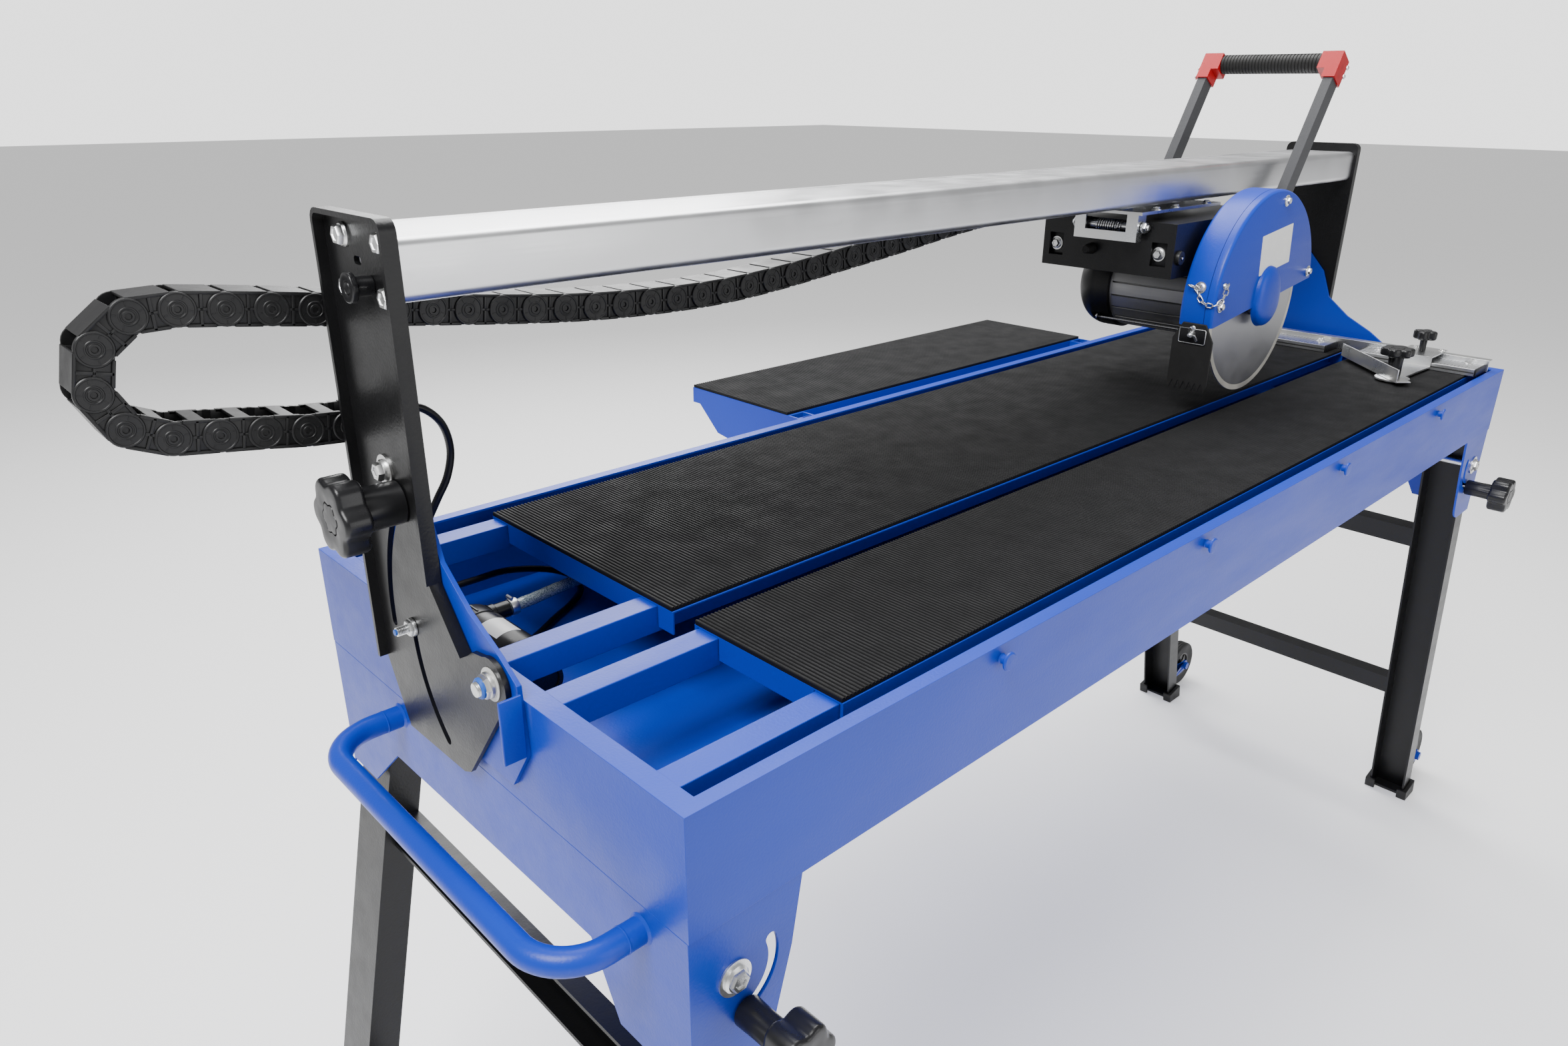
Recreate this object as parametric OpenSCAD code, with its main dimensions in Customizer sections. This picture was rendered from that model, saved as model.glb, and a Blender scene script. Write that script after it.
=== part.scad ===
// Wet bridge saw: a tiling saw on folding legs, with a water tub, a tilting bridge rail,
// a sliding cutting head, a side table and a ruler fence. Millimetres, +Z up.
// Inside the modules X runs along the tub from its near end, Y from its front edge to the
// back and Z from the table's working surface. placed() moves all of it onto the floor.

/* [Tub and tables] */
// Length of the water tub
tub_l = 1640; // [1360:10:1970]
// Width of the water tub, front to back
tub_w = 556; // [520:2:670]
// Depth of the tub's walls
tub_d = 98; // [80:1:130]
// Thickness of the tub's steel sheet
sheet = 2.5; // [1.5:0.5:4]
// Height of the working surface over the floor
table_h = 860; // [800:5:950]
// Width of the folded rim at the tub's ends
end_rim = 18; // [10:1:30]
// Width of the folded rim along the tub's sides
side_rim = 13; // [8:1:20]
// Thickness of the ribbed rubber mats
mat_t = 4; // [2:0.5:6]
// Length of open tub before the tables begin
table_start = 168; // [120:1:220]
// Width of the saw's slot between the two tables
slot_w = 29; // [24:1:32]
// Size of the square bars under the tables
bar_size = 25; // [20:1:28]

/* [Bridge] */
// Distance of the blade's plane from the tub's front edge
blade_y = 213; // [205:1:221]
// Tilt of the bridge at its limit, in degrees
tilt_max = 45; // [20:1:45]
// Width of the rail across the saw
rail_w = 110; // [90:1:114]
// Height of the rail's section
rail_h = 45; // [40:1:55]
// Underside of the rail over the table
rail_z = 267; // [262:1:290]
// Thickness of the posts' plate
post_t = 4; // [3:0.5:5]
// Radius of the tilt pins
tilt_pin_r = 6; // [5:0.5:8]

/* [Cutting head] */
// Radius of the saw blade
blade_r = 125; // [100:1:126]
// Thickness of the saw blade
blade_t = 2.2; // [1.6:0.2:3]
// Place of the blade's centre, back from the tub's far end
blade_in = 466; // [450:1:700]
// Height of the blade's centre over the table
blade_z = 137; // [130:1:140]
// Radius of the blade guard
guard_r = 147; // [140:1:150]
// Radius of the motor's housing
motor_r = 60; // [50:1:62]
// Radius of the blade's shaft
shaft_r = 8; // [6:0.5:12]
// Radius of the grip on the handle
grip_r = 14; // [11:0.5:17]

/* [Legs] */
// Lean of the legs from upright, in degrees
leg_lean = 12; // [6:1:14]
// Width of a leg's channel, front to back
leg_w = 60; // [50:1:70]
// Depth of a leg's channel
leg_d = 34; // [28:1:40]
// Radius of the transport wheels
wheel_r = 50; // [40:1:52]
// Radius of the leg pivots
leg_pin_r = 5; // [4:0.5:6]

/* [Side table and fence] */
// Start of the side table along the tub
side_x = 643; // [500:1:700]
// Length of the side table
side_l = 715; // [600:1:760]
// Reach of the side table behind the tub
side_reach = 234; // [200:1:300]
// Width of a ruler bar
ruler_w = 48; // [40:1:52]
// Height of a ruler bar
ruler_h = 11; // [8:1:12]

/* [Hidden] */
$fn = 48;

run_fit = 0.05;      // radial play of a running fit
gap = 0.5;           // play between faces that slide or rest close by

// reach of the whole saw, from the tub's near front corner
loop_r = 46;         // middle radius of the cable chain's loop
loop_x = -130;       // centre of that loop
loop_z = 217;
link_h = 26;         // height of a chain link
link_w = 38;         // width of a chain link
knob_out = 62;       // how far the leg knobs stand out in front
leg_pin_in = 38;     // leg pivots from the tub's ends
leg_pin_z = -150;
leg_back = 12;       // leg pivot to the outer face of the leg's web
wheel_gap = 8;       // wheel to leg
wheel_z = 4 + wheel_r - table_h;
leg_sin = sin(leg_lean);
leg_cos = cos(leg_lean);
leg_tan = tan(leg_lean);
// outer face of a leg's web, measured out from the pivot, at the height z
function web_out(z) = (leg_pin_z - z) * leg_tan + leg_back / leg_cos;
wheel_out = web_out(wheel_z) + (wheel_r + wheel_gap) / leg_cos - leg_pin_in;
blade_x = tub_l - blade_in;
reach_x = [loop_x - loop_r - link_h / 2, tub_l + wheel_out + wheel_r];
reach_y = [-knob_out, tub_w + side_reach];

module placed()
    translate([-(reach_x[0] + reach_x[1]) / 2, -(reach_y[0] + reach_y[1]) / 2, table_h])
        children();

// mirror images at the far end and at the back
module far_end() translate([tub_l, 0, 0]) mirror([1, 0, 0]) children();
module back_side() translate([0, tub_w, 0]) mirror([0, 1, 0]) children();
module both_ends() { children(); far_end() children(); }
module both_sides() { children(); back_side() children(); }

// an outline of (y, z) points, pulled along X from x0
module along_x(x0, len) translate([x0, 0, 0]) rotate([90, 0, 90]) linear_extrude(len) children();
// an outline of (x, z) points, pulled along Y from y0
module along_y(y0, len)
    translate([0, y0 + len, 0]) rotate([90, 0, 0]) linear_extrude(len) children();
// round bars between two places on an axis
module rod_x(x0, x1, r) translate([x0, 0, 0]) rotate([0, 90, 0]) cylinder(h = x1 - x0, r = r);
module rod_y(y0, y1, r) translate([0, y0, 0]) rotate([-90, 0, 0]) cylinder(h = y1 - y0, r = r);
// a box between two corners
module block(a, b) translate(a) cube(b - a);

function arc(c, r, a0, a1, n = 6) =
    [for (i = [0:n]) c + r * [cos(a0 + (a1 - a0) * i / n), sin(a0 + (a1 - a0) * i / n)]];
function round_rect(a, b, r) = concat(arc([b[0] - r, b[1] - r], r, 0, 90, 4),
    arc([a[0] + r, b[1] - r], r, 90, 180, 4), arc([a[0] + r, a[1] + r], r, 180, 270, 4),
    arc([b[0] - r, a[1] + r], r, 270, 360, 4));

// a round end between two arcs, without its first and last points
function cap(c, r, a) = [for (i = [1:7]) c + r * [cos(a + i * 22.5), sin(a + i * 22.5)]];
// a curved slot of the width w around the origin, from angle a0 to a1, in the XY plane
module arc_slot(r, w, a0, a1, h) linear_extrude(h) polygon(concat(
    arc([0, 0], r + w / 2, a0, a1, 24), cap(r * [cos(a1), sin(a1)], w / 2, a1),
    arc([0, 0], r - w / 2, a1, a0, 24), cap(r * [cos(a0), sin(a0)], w / 2, a0 + 180)));

// a tube swept along the points p, with n sides
function unit(v) = v / norm(v);
function way(p, i) = unit(p[min(i + 1, len(p) - 1)] - p[max(i - 1, 0)]);
function side_of(d) = unit(cross(d, abs(d[2]) < 0.9 ? [0, 0, 1] : [1, 0, 0]));
function ring(c, d, s, r, n) =
    [for (k = [0:n - 1]) c + r * (s * cos(360 * k / n) + cross(d, s) * sin(360 * k / n))];
// the ring's reference side, carried along so that the tube doesn't twist
function carried(s, d) = unit(s - d * (s * d));
function sides(p, i = 0, s = undef) = i >= len(p) ? [] :
    let (now = i == 0 ? side_of(way(p, 0)) : carried(s, way(p, i)))
        concat([now], sides(p, i + 1, now));
// points on a smooth curve through the corners q, m steps between neighbours
function curve(q, m) = concat([for (i = [0:len(q) - 2]) for (j = [0:m - 1])
    let (a = q[max(i - 1, 0)], b = q[i], c = q[i + 1], d = q[min(i + 2, len(q) - 1)], t = j / m)
        0.5 * (2 * b + (c - a) * t + (2 * a - 5 * b + 4 * c - d) * t * t
        + (3 * b - a - 3 * c + d) * t * t * t)], [q[len(q) - 1]]);
module swept(p, r, n = 8) {
    s = sides(p);
    last = len(p) - 1;
    points = [for (i = [0:last]) each ring(p[i], way(p, i), s[i], r, n)];
    walls = [for (i = [0:last - 1]) for (k = [0:n - 1])
        [i * n + k, (i + 1) * n + k, (i + 1) * n + (k + 1) % n, i * n + (k + 1) % n]];
    ends = [[for (k = [0:n - 1]) k], [for (k = [n - 1:-1:0]) last * n + k]];
    polyhedron(points, concat(walls, ends), convexity = 8);
}

// a star knob whose stem starts at the origin and runs along +Z
module star_knob(r, star_t, stem_r, stem_l, stud_r, stud_l, lobes = 6) {
    translate([0, 0, -stud_l]) cylinder(h = stud_l, r = stud_r);
    cylinder(h = stem_l, r = stem_r);
    translate([0, 0, stem_l - 0.01]) linear_extrude(star_t) polygon([for (a = [0:5:355])
        r * (0.89 + 0.11 * cos(lobes * a)) * [cos(a), sin(a)]]);
}
// a flanged hexagon head along +Z
module hex_head(r) {
    cylinder(h = r * 0.3, r = r * 1.15, $fn = 32);
    cylinder(h = r * 1.1, r = r, $fn = 6);
}

// tables and bars
plate_t = 2;
bar_top = -mat_t - plate_t;
table_end = tub_l - 40;
plate_lip = 20;
front_y = [29, blade_y - slot_w / 2];
rear_y = [blade_y + slot_w / 2, tub_w - 27];
bar_in = 4;                        // a bar's place inside its plate's edge
bars = [front_y[0] + bar_in, front_y[1] - 5 - bar_size, rear_y[0] + 22,
    rear_y[1] - bar_in - bar_size];

module tub() placed() color("royalblue") difference() {
    block([0, 0, -tub_d], [tub_l, tub_w, 0]);
    block([sheet, sheet, sheet - tub_d], [tub_l - sheet, tub_w - sheet, -sheet]);
    block([end_rim, side_rim, -sheet - 1], [tub_l - end_rim, tub_w - side_rim, 1]);
    both_ends() translate([0, blade_y, tilt_z]) rod_x(-1, sheet + 1, tilt_pin_r);
}

module support_bars() placed() color("royalblue") for (y = bars) difference() {
    block([sheet, y, bar_top - bar_size], [tub_l - sheet, y + bar_size, bar_top]);
    block([sheet - 1, y + 2, bar_top - bar_size + 2],
        [tub_l - sheet + 1, y + bar_size - 2, bar_top - 2]);
}

// a table's plate, folded down all round except along the slot, where a tilted blade swings
module table_plate(y, slot) difference() {
    block([table_start, y[0], bar_top - plate_lip], [table_end, y[1], -mat_t]);
    block([table_start + plate_t, y[0] + (slot == 0 ? -1 : plate_t), bar_top - plate_lip - 1],
        [table_end - plate_t, y[1] + (slot == 1 ? 1 : -plate_t), bar_top]);
    for (b = bars)
        block([table_start - 1, b - 1, bar_top - plate_lip - 1],
            [table_end + 1, b + bar_size + 1, bar_top]);
}
module table_plates() placed() color("mediumblue") {
    table_plate(front_y, 1);
    table_plate(rear_y, 0);
}
module mats() placed() color("#26272a")
    for (y = [front_y, rear_y]) block([table_start, y[0] + 1, -mat_t], [table_end, y[1] - 1, 0]);

// tilt pivots: a blue bracket on each end wall, with a pin and two clamp studs
tilt_z = 4;
bracket_t = 4;
washer_t = 1;
post_in = -bracket_t - washer_t;           // inner face of a post
post_out = post_in - post_t;               // outer face of a post
wide_slot_r = 160;                         // slot of the tilt knob
near_slot_r = 123;                         // slot of the guide stud
knob_at = 43;                              // angle of the knob in its slot at rest
slot_w_post = 8.6;
stud_r = 3.9;
module at_tilt() translate([0, blade_y, tilt_z]) children();
// from the tilt axis, out by r at the angle a in the YZ plane
module tilt_polar(r, a) at_tilt() translate([0, r * cos(a), r * sin(a)]) children();

// the bracket's outline, from the tilt axis at the table's height
bracket_edge = [[-33, -45], [-8, -82], [181, -82], [181, 150], [117, 150], [87, 118], [70, 76],
    [34, 48], [-7, 27], [-29, 12]];
module pivot_bracket() difference() {
    translate([0, blade_y, 0]) along_x(-bracket_t, bracket_t) polygon(bracket_edge);
    at_tilt() rod_x(-bracket_t - 1, 1, tilt_pin_r);
    tilt_polar(wide_slot_r, knob_at) rod_x(-bracket_t - 1, 1, stud_r + run_fit);
}
module pivot_brackets() placed() color("royalblue") both_ends() pivot_bracket();

module tilt_pin() {
    at_tilt() rod_x(post_out - 2, sheet, tilt_pin_r);
    at_tilt() rod_x(post_in, post_in + washer_t - 0.02, 15);
    at_tilt() translate([post_out - 0.4, 0, 0]) rotate([0, -90, 0]) {
        cylinder(h = 9, r = 10, $fn = 6);
        cylinder(h = 12, r = 7.5);
    }
    tilt_polar(near_slot_r, 0) rod_x(post_out - 16, -bracket_t, stud_r);
    tilt_polar(near_slot_r, 0) translate([post_out - 0.4, 0, 0]) rotate([0, -90, 0])
        cylinder(h = 7, r = 7.5, $fn = 6);
}
module tilt_pins() placed() color("lightsteelblue") both_ends() tilt_pin();

module tilt_knob() tilt_polar(wide_slot_r, knob_at) translate([post_out - gap, 0, 0])
    rotate([0, -90, 0]) star_knob(31, 21, 17, 32, stud_r, post_t + washer_t + bracket_t + gap);
module tilt_knob_near() placed() color("#1c1d1f") tilt_knob();
module tilt_knob_far() placed() color("#1c1d1f") far_end() tilt_knob();

// the posts: pressed plates with an edge folded outwards all round
post_y = [blade_y + 70, blade_y + 187];
post_top = rail_z + 58;
post_fold = 8;
slope_fold = 6;
post_low = -45;
rail_y = post_y[0] + 5;
rail_mid = rail_y + rail_w / 2;
bolt_y = [post_y[0] + post_t + 10, post_y[1] - 38];
lock_at = [post_y[0] + 42, rail_z + 9.5];
stop_at = [post_y[1] - 53, 134];
post_edge = concat(arc([blade_y, tilt_z], 21, 62, 215, 10),
    [[blade_y + 51, -98], [blade_y + 62, -103], [blade_y + 158, -105],
    [post_y[1], post_low]], arc([post_y[1] - 10, post_top - 10], 10, 0, 90, 4),
    arc([post_y[0] + 10, post_top - 10], 10, 90, 180, 4),
    [[post_y[0], 60], [blade_y + 33, 14], [blade_y + 25, 20]]);

module post() {
    difference() {
        along_x(post_out, post_t) polygon(post_edge);
        at_tilt() rod_x(post_out - 1, post_in + 1, tilt_pin_r + run_fit);
        at_tilt() translate([post_out - 1, 0, 0]) rotate([90, 0, 90]) {
            arc_slot(wide_slot_r, slot_w_post, knob_at - tilt_max - 1, knob_at + 1, post_t + 2);
            arc_slot(near_slot_r, slot_w_post, -tilt_max - 1, 1, post_t + 2);
        }
        translate([0, lock_at[0], lock_at[1]]) rod_x(post_out - 1, post_in + 1, 3.6 + run_fit);
        along_x(post_out - 1, post_t + 2)
            polygon(round_rect(lock_at + [13, 12], lock_at + [25, 18], 2.5));
    }
    // folded edge: up the back, over the top and down the front, then down the slope
    along_x(post_out - post_fold, post_fold + post_t) polygon(concat(
        [[post_y[1], post_low]], rim_arc(10, 0, 180),
        [[post_y[0], 60], [post_y[0] + post_t, 60]], rim_arc(10 - post_t, 180, 0),
        [[post_y[1] - post_t, post_low]]));
    along_x(post_out - slope_fold, slope_fold + post_t) polygon([[post_y[0], 60], [blade_y + 33, 14],
        [blade_y + 36, 12], [post_y[0] + post_t, 60]]);
}
// both top corners of a post, turned with the radius r from angle a to b
function rim_arc(r, a, b) =
    let (right = arc([post_y[1] - 10, post_top - 10], r, min(a, 90), min(b, 90), 4),
        left = arc([post_y[0] + 10, post_top - 10], r, max(a, 90), max(b, 90), 4))
    a < b ? concat(right, left) : concat(left, right);

module post_near() placed() color("#17181a") {
    post();
    // tab that holds the fixed end of the cable chain
    block([post_out, post_y[1] - 0.01, tab_z - post_t], [24, chain_y + link_w, tab_z]);
}
module post_far() placed() color("#17181a") far_end() post();

rail_wall = 3;
lip_gap = 36;              // opening between the rail's lower lips
module rail() placed() color("silver") difference() {
    along_x(post_in, tub_l - 2 * post_in) difference() {
        polygon(round_rect([rail_y, rail_z], [rail_y + rail_w, rail_z + rail_h], 8));
        polygon(round_rect([rail_y + rail_wall, rail_z + rail_wall],
            [rail_y + rail_w - rail_wall, rail_z + rail_h - rail_wall], 5));
        translate([rail_mid - lip_gap / 2, rail_z - 1]) square([lip_gap, 6]);
        translate([rail_y + rail_w - 12, rail_z + rail_h - 1]) square([2, 3]);
    }
}

module rail_bolt() translate([post_out, 0, 0]) rotate([0, -90, 0]) hex_head(8);
module rail_bolts() placed() color("gainsboro") both_ends() {
    for (y = bolt_y, z = [rail_z + 4, rail_z + 41]) translate([0, y, z]) rail_bolt();
    translate([0, stop_at[0], stop_at[1]]) rail_bolt();
}
module lock_knob() placed() color("#1c1d1f")
    translate([post_out - gap, lock_at[0], lock_at[1]]) rotate([0, -90, 0])
        star_knob(11, 5, 7, 13, 3.6, post_t + gap + 1);

// cable chain: a flat run from the carriage, a loop beyond the near post and a lower run
chain_y = post_y[1] + 6;
tab_z = 143;
chain_end = [blade_x - 164, rail_z + 7];
// its upper run: share of the span from the loop to the carriage, and drop under the rail
chain_sag = [[0.9, 4], [0.8, 14], [0.71, 26], [0.615, 37], [0.535, 46], [0.46, 51], [0.38, 50],
    [0.295, 44], [0.185, 30], [0.115, 20], [0.055, 11]];
chain_run = [for (s = chain_sag) [loop_x + s[0] * (chain_end[0] - 40 - loop_x), rail_z - s[1]]];
chain_fixed = [22, tab_z + link_h / 2];
chain_line = concat([chain_end, chain_end - [40, 0]], chain_run,
    arc([loop_x, loop_z], loop_r, 90, 270, 12), [[-70, 163], [-22, chain_fixed[1]], chain_fixed]);
function flat_way(p, i) = unit(p[min(i + 1, len(p) - 1)] - p[max(i - 1, 0)]);
function beside(p, i, d) = p[i] + d * [-flat_way(p, i)[1], flat_way(p, i)[0]];
module cable_chain() placed() color("#1b1b1d") along_y(chain_y, link_w) polygon(concat(
    [for (i = [0:len(chain_line) - 1]) beside(chain_line, i, link_h / 2 - 0.1)],
    [for (i = [len(chain_line) - 1:-1:0]) beside(chain_line, i, 0.1 - link_h / 2)]));

// lift handle: a bent tube under the near end wall
handle_ys = [52, tub_w - 142];
handle_z = -119;
handle_reach = 69;
bend_r = 42;
tube_r = 10;
module elbow(x, y, a) translate([x, y, handle_z]) rotate([0, 0, a])
    rotate_extrude(angle = 90) translate([bend_r, 0]) circle(r = tube_r, $fn = 32);
module lift_handle() placed() color("royalblue") {
    for (y = handle_ys) translate([0, y, handle_z]) {
        rod_x(bend_r - handle_reach, 0, tube_r - 1);
        rod_x(bend_r - handle_reach, -14, tube_r);
    }
    translate([-handle_reach, 0, handle_z]) rod_y(handle_ys[0] + bend_r,
        handle_ys[1] - bend_r, tube_r);
    elbow(bend_r - handle_reach, handle_ys[0] + bend_r, 180);
    elbow(bend_r - handle_reach, handle_ys[1] - bend_r, 90);
}

// mushroom studs that hold the side table, on both long walls
stud_x0 = 320;
stud_step = 340;
stud_z = -13;
neck_r = 4;
neck_l = 6;
module hook_studs() placed() color("royalblue") both_sides() for (i = [0:3])
    translate([stud_x0 + i * stud_step, 0, stud_z]) {
        rod_y(-neck_l, 0, neck_r);
        rod_y(-neck_l - 3, -neck_l, 8);
    }

// side table, hung on the back studs
side_skirt = 20;
arm_y = tub_w + gap;
mat_y = tub_w + 32;
side_y = tub_w + side_reach;
socket = 30;
socket_y = mat_y - 22;
hook_y = tub_w + 3;
module gusset(x) along_x(x, 3) polygon([[arm_y, -4], [side_y, -4],
    [side_y, -12], [side_y - 55, -62], [arm_y, -88]]);
module side_table() placed() color("royalblue") difference() {
    union() {
        // tray under the mat, with its skirt
        difference() {
            block([side_x, mat_y, -mat_t - plate_t - side_skirt], [side_x + side_l, side_y, -mat_t]);
            block([side_x + 3, mat_y + 3, -mat_t - plate_t - side_skirt - 1],
                [side_x + side_l - 3, side_y - 3, -mat_t - plate_t]);
        }
        for (x = [side_x, side_x + side_l - 3]) gusset(x);
        // rail that drops over the studs, and the sockets at its ends
        block([side_x, hook_y, -42], [side_x + side_l, hook_y + 2.5, -mat_t]);
        for (x = [side_x, side_x + side_l - socket])
            block([x, socket_y, -36], [x + socket, mat_y + 0.01, -mat_t]);
    }
    for (x = [side_x, side_x + side_l - socket])
        block([x + 3, socket_y + 3, -30], [x + socket - 3, mat_y - 3, 1]);
    // keyways for the studs
    for (i = [0:3]) translate([stud_x0 + i * stud_step, 0, 0]) {
        block([-neck_r - gap, hook_y - 1, -90], [neck_r + gap, hook_y + 4, stud_z]);
        translate([0, 0, stud_z]) rod_y(hook_y - 1, hook_y + 4, neck_r + gap);
        block([-9, hook_y + 2.4, -90], [9, hook_y + 9, stud_z + 9]);
    }
}
module side_mat() placed() color("#26272a")
    block([side_x + 1, mat_y + 1, -mat_t], [side_x + side_l - 1, side_y - 1, 0]);

// pump in the tub's open end, with its hose and its cable
pump_x = 85;
pump_r = 26;
pump_z = sheet - tub_d + pump_r;
module pump() placed() color("#1b1c1e") {
    translate([pump_x, 0, pump_z]) {
        rod_y(335, 442, pump_r);
        rod_y(300, 335.01, pump_r - 9);
    }
    // outlet that the hose is pushed onto
    translate([0, hose_route[0][1], hose_route[0][2]]) rod_x(pump_x, hose_route[0][0], hose_r + 2);
    block([pump_x - 18, 350, sheet - tub_d], [pump_x + 18, 410, sheet - tub_d + 6]);
}
hose_r = 6;
hose_route = [[122, 428, -58], [150, 430, -58], [185, 437, -59], [227, 446, -63], [290, 450, -76],
    [360, 444, -87], [430, 430, -89], [490, 412, -89], [530, 398, -89]];
module water_hose() placed() color("#9fb4bd") swept(curve(hose_route, 5), hose_r, 10);
module hose_tail() placed() color("#1b1c1e")
    translate(hose_route[8]) rotate([0, 90, -20]) cylinder(h = 34, r = hose_r - 0.5);
cable_r = 3.5;
cable_route = [[22.5, 425, 156], [42, 425, 158], [62, 426, 152], [78, 428, 135], [84, 430, 110],
    [78, 430, 86], [66, 431, 66], [54, 436, 40], [48, 444, 8], [56, 460, -22], [80, 482, -44],
    [122, 500, -54], [170, 514, -62], [216, 512, -74], [238, 496, -84], [232, 474, -90], [208, 454, -91],
    [176, 436, -91], [148, 418, -90], [128, 404, -86], [111, 396, -76]];
module pump_cable() placed() color("#141415") swept(curve(cable_route, 4), cable_r);

// ruler fence across the far end of the tables
ruler_x = table_end - 50;
far_bar = [blade_y + 27, rear_y[1] - 4];
near_bar = [front_y[0] - 12, blade_y - 22];
backing_t = 2;
module ruler_bars() placed() color("gainsboro") for (y = [near_bar, far_bar])
    block([ruler_x, y[0], 0.3], [ruler_x + ruler_w, y[1], ruler_h]);
module ruler_backing() placed() color("lightgray") {
    block([ruler_x + ruler_w, near_bar[0] - 4, 0], [ruler_x + ruler_w + backing_t, far_bar[1] + 6, 18]);
    block([ruler_x + ruler_w, near_bar[0] - 4, 16], [ruler_x + ruler_w + 16, far_bar[1] + 6, 18]);
}
slide_y = 106;
slide_w = 54;
swing_at = [ruler_x - 118, slide_y - 11];
clamp_x = ruler_x + 34;
clamp_r = 3;
module fence_slider() placed() color("lightgray") {
    slide_z = 18 + gap;
    difference() {
        block([ruler_x - 3, slide_y - slide_w / 2, slide_z],
            [ruler_x + ruler_w + 22, slide_y + slide_w / 2, slide_z + 2]);
        translate([clamp_x, slide_y, slide_z - 1]) cylinder(h = 4, r = clamp_r + run_fit);
    }
    block([ruler_x - 3, slide_y - slide_w / 2, 3], [ruler_x - 1, slide_y + slide_w / 2, slide_z + 1]);
    difference() {
        translate([0, 0, 3]) linear_extrude(2.5) polygon(concat([[ruler_x - 1, slide_y + 27],
            [ruler_x - 60, slide_y + 20]], arc(swing_at, 24, 80, 330, 10),
            [[ruler_x - 60, slide_y - 24], [ruler_x - 1, slide_y - 27]]));
        translate([swing_at[0], swing_at[1], 2]) cylinder(h = 5, r = 4 + run_fit);
    }
}
module fence_knob() placed() color("#1c1d1f")
    translate([clamp_x, slide_y, 21]) star_knob(17, 14, 5, 18, clamp_r, 2.6);
bar_l = 178;
module angle_bar() placed() color("lightgray") translate([swing_at[0], swing_at[1], 0])
    rotate([0, 0, 45]) difference() {
        union() {
            block([-38, 12, 6], [bar_l - 38, 14, 26]);
            block([-38, -8, 6], [bar_l - 38, 13, 8]);
        }
        translate([0, 0, 5]) cylinder(h = 4, r = 4 + run_fit);
    }
module angle_knob() placed() color("#1c1d1f")
    translate([swing_at[0], swing_at[1], 8.5]) star_knob(23, 12, 10, 30, 4, 5);

// carriage under the rail
axle_z = rail_z + rail_wall + 12.3;
roller_r = 12;
axle_x = [blade_x - 150, blade_x - 10];
plate_z = rail_z - 11;
carriage_x = [blade_x - 188, blade_x + 26];
hinge_at = [blade_x - 175, 240];
hinge_r = 5;
yoke_y = [rail_mid - 46, rail_mid + 46];
yoke_z = 222;
yoke_r = 7.5;
module carriage_plate() placed() color("lightsteelblue") difference() {
    union() {
        block([carriage_x[0], rail_y + 4, plate_z], [carriage_x[1], rail_y + rail_w - 4, plate_z + 4]);
        // arm that carries the cable chain
        block([carriage_x[0], rail_mid, plate_z], [carriage_x[0] + 50, chain_y + link_w, plate_z + 4]);
        // webs up through the rail's opening, which hold the roller axles
        for (x = axle_x) block([x - 14, rail_mid - 8, plate_z + 3.9], [x + 14, rail_mid + 8, axle_z + 8]);
        // yoke for the hinge
        for (y = [yoke_y[0], yoke_y[1] - 3]) along_y(y, 3) polygon(concat([[carriage_x[0], yoke_z],
            [hinge_at[0], yoke_z]], arc(hinge_at, yoke_r, -90, 0, 6),
            [[hinge_at[0] + yoke_r, plate_z + 0.1], [carriage_x[0], plate_z + 0.1]]));
        block([carriage_x[0], yoke_y[0], yoke_z], [carriage_x[0] + 3, yoke_y[1], plate_z + 0.1]);
    }
    for (x = axle_x) translate([x, 0, axle_z]) rod_y(rail_mid - 10, rail_mid + 10, 5);
    translate([hinge_at[0], 0, hinge_at[1]]) rod_y(yoke_y[0] - 1, yoke_y[1] + 1, hinge_r);
    block([carriage_x[0] - 1, rail_mid - 30, 234], [carriage_x[0] + 3.5, rail_mid + 30, plate_z]);
}
module roller_axles() placed() color("silver") for (x = axle_x)
    translate([x, 0, axle_z]) {
        rod_y(rail_mid - 32, rail_mid + 32, 5);
        for (y = [rail_mid - 35, rail_mid + 32]) rod_y(y, y + 3, 7.5);
    }
module roller_pair(x) translate([x, 0, axle_z]) for (y = [rail_mid - 31, rail_mid + 20])
    difference() {
        rod_y(y, y + 11, roller_r);
        rod_y(y - 1, y + 12, 5 + run_fit);
    }
module roller_pair_near() placed() color("#3a3b3e") roller_pair(axle_x[0]);
module roller_pair_far() placed() color("#3a3b3e") roller_pair(axle_x[1]);
module plunge_pin() placed() color("silver") translate([hinge_at[0], 0, hinge_at[1]]) {
    rod_y(yoke_y[0] - 6, yoke_y[1] + 6, hinge_r);
    for (y = [yoke_y[0] - 8, yoke_y[1] + 1]) rod_y(y, y + 7, yoke_r, $fn = 6);
}
module plunge_spring() placed() color("dimgray") translate([hinge_at[0], 0, hinge_at[1]])
    difference() {
        rod_y(rail_mid - 20, rail_mid + 20, 7.6);
        rod_y(rail_mid - 21, rail_mid + 21, hinge_r + 0.5);
    }

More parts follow.
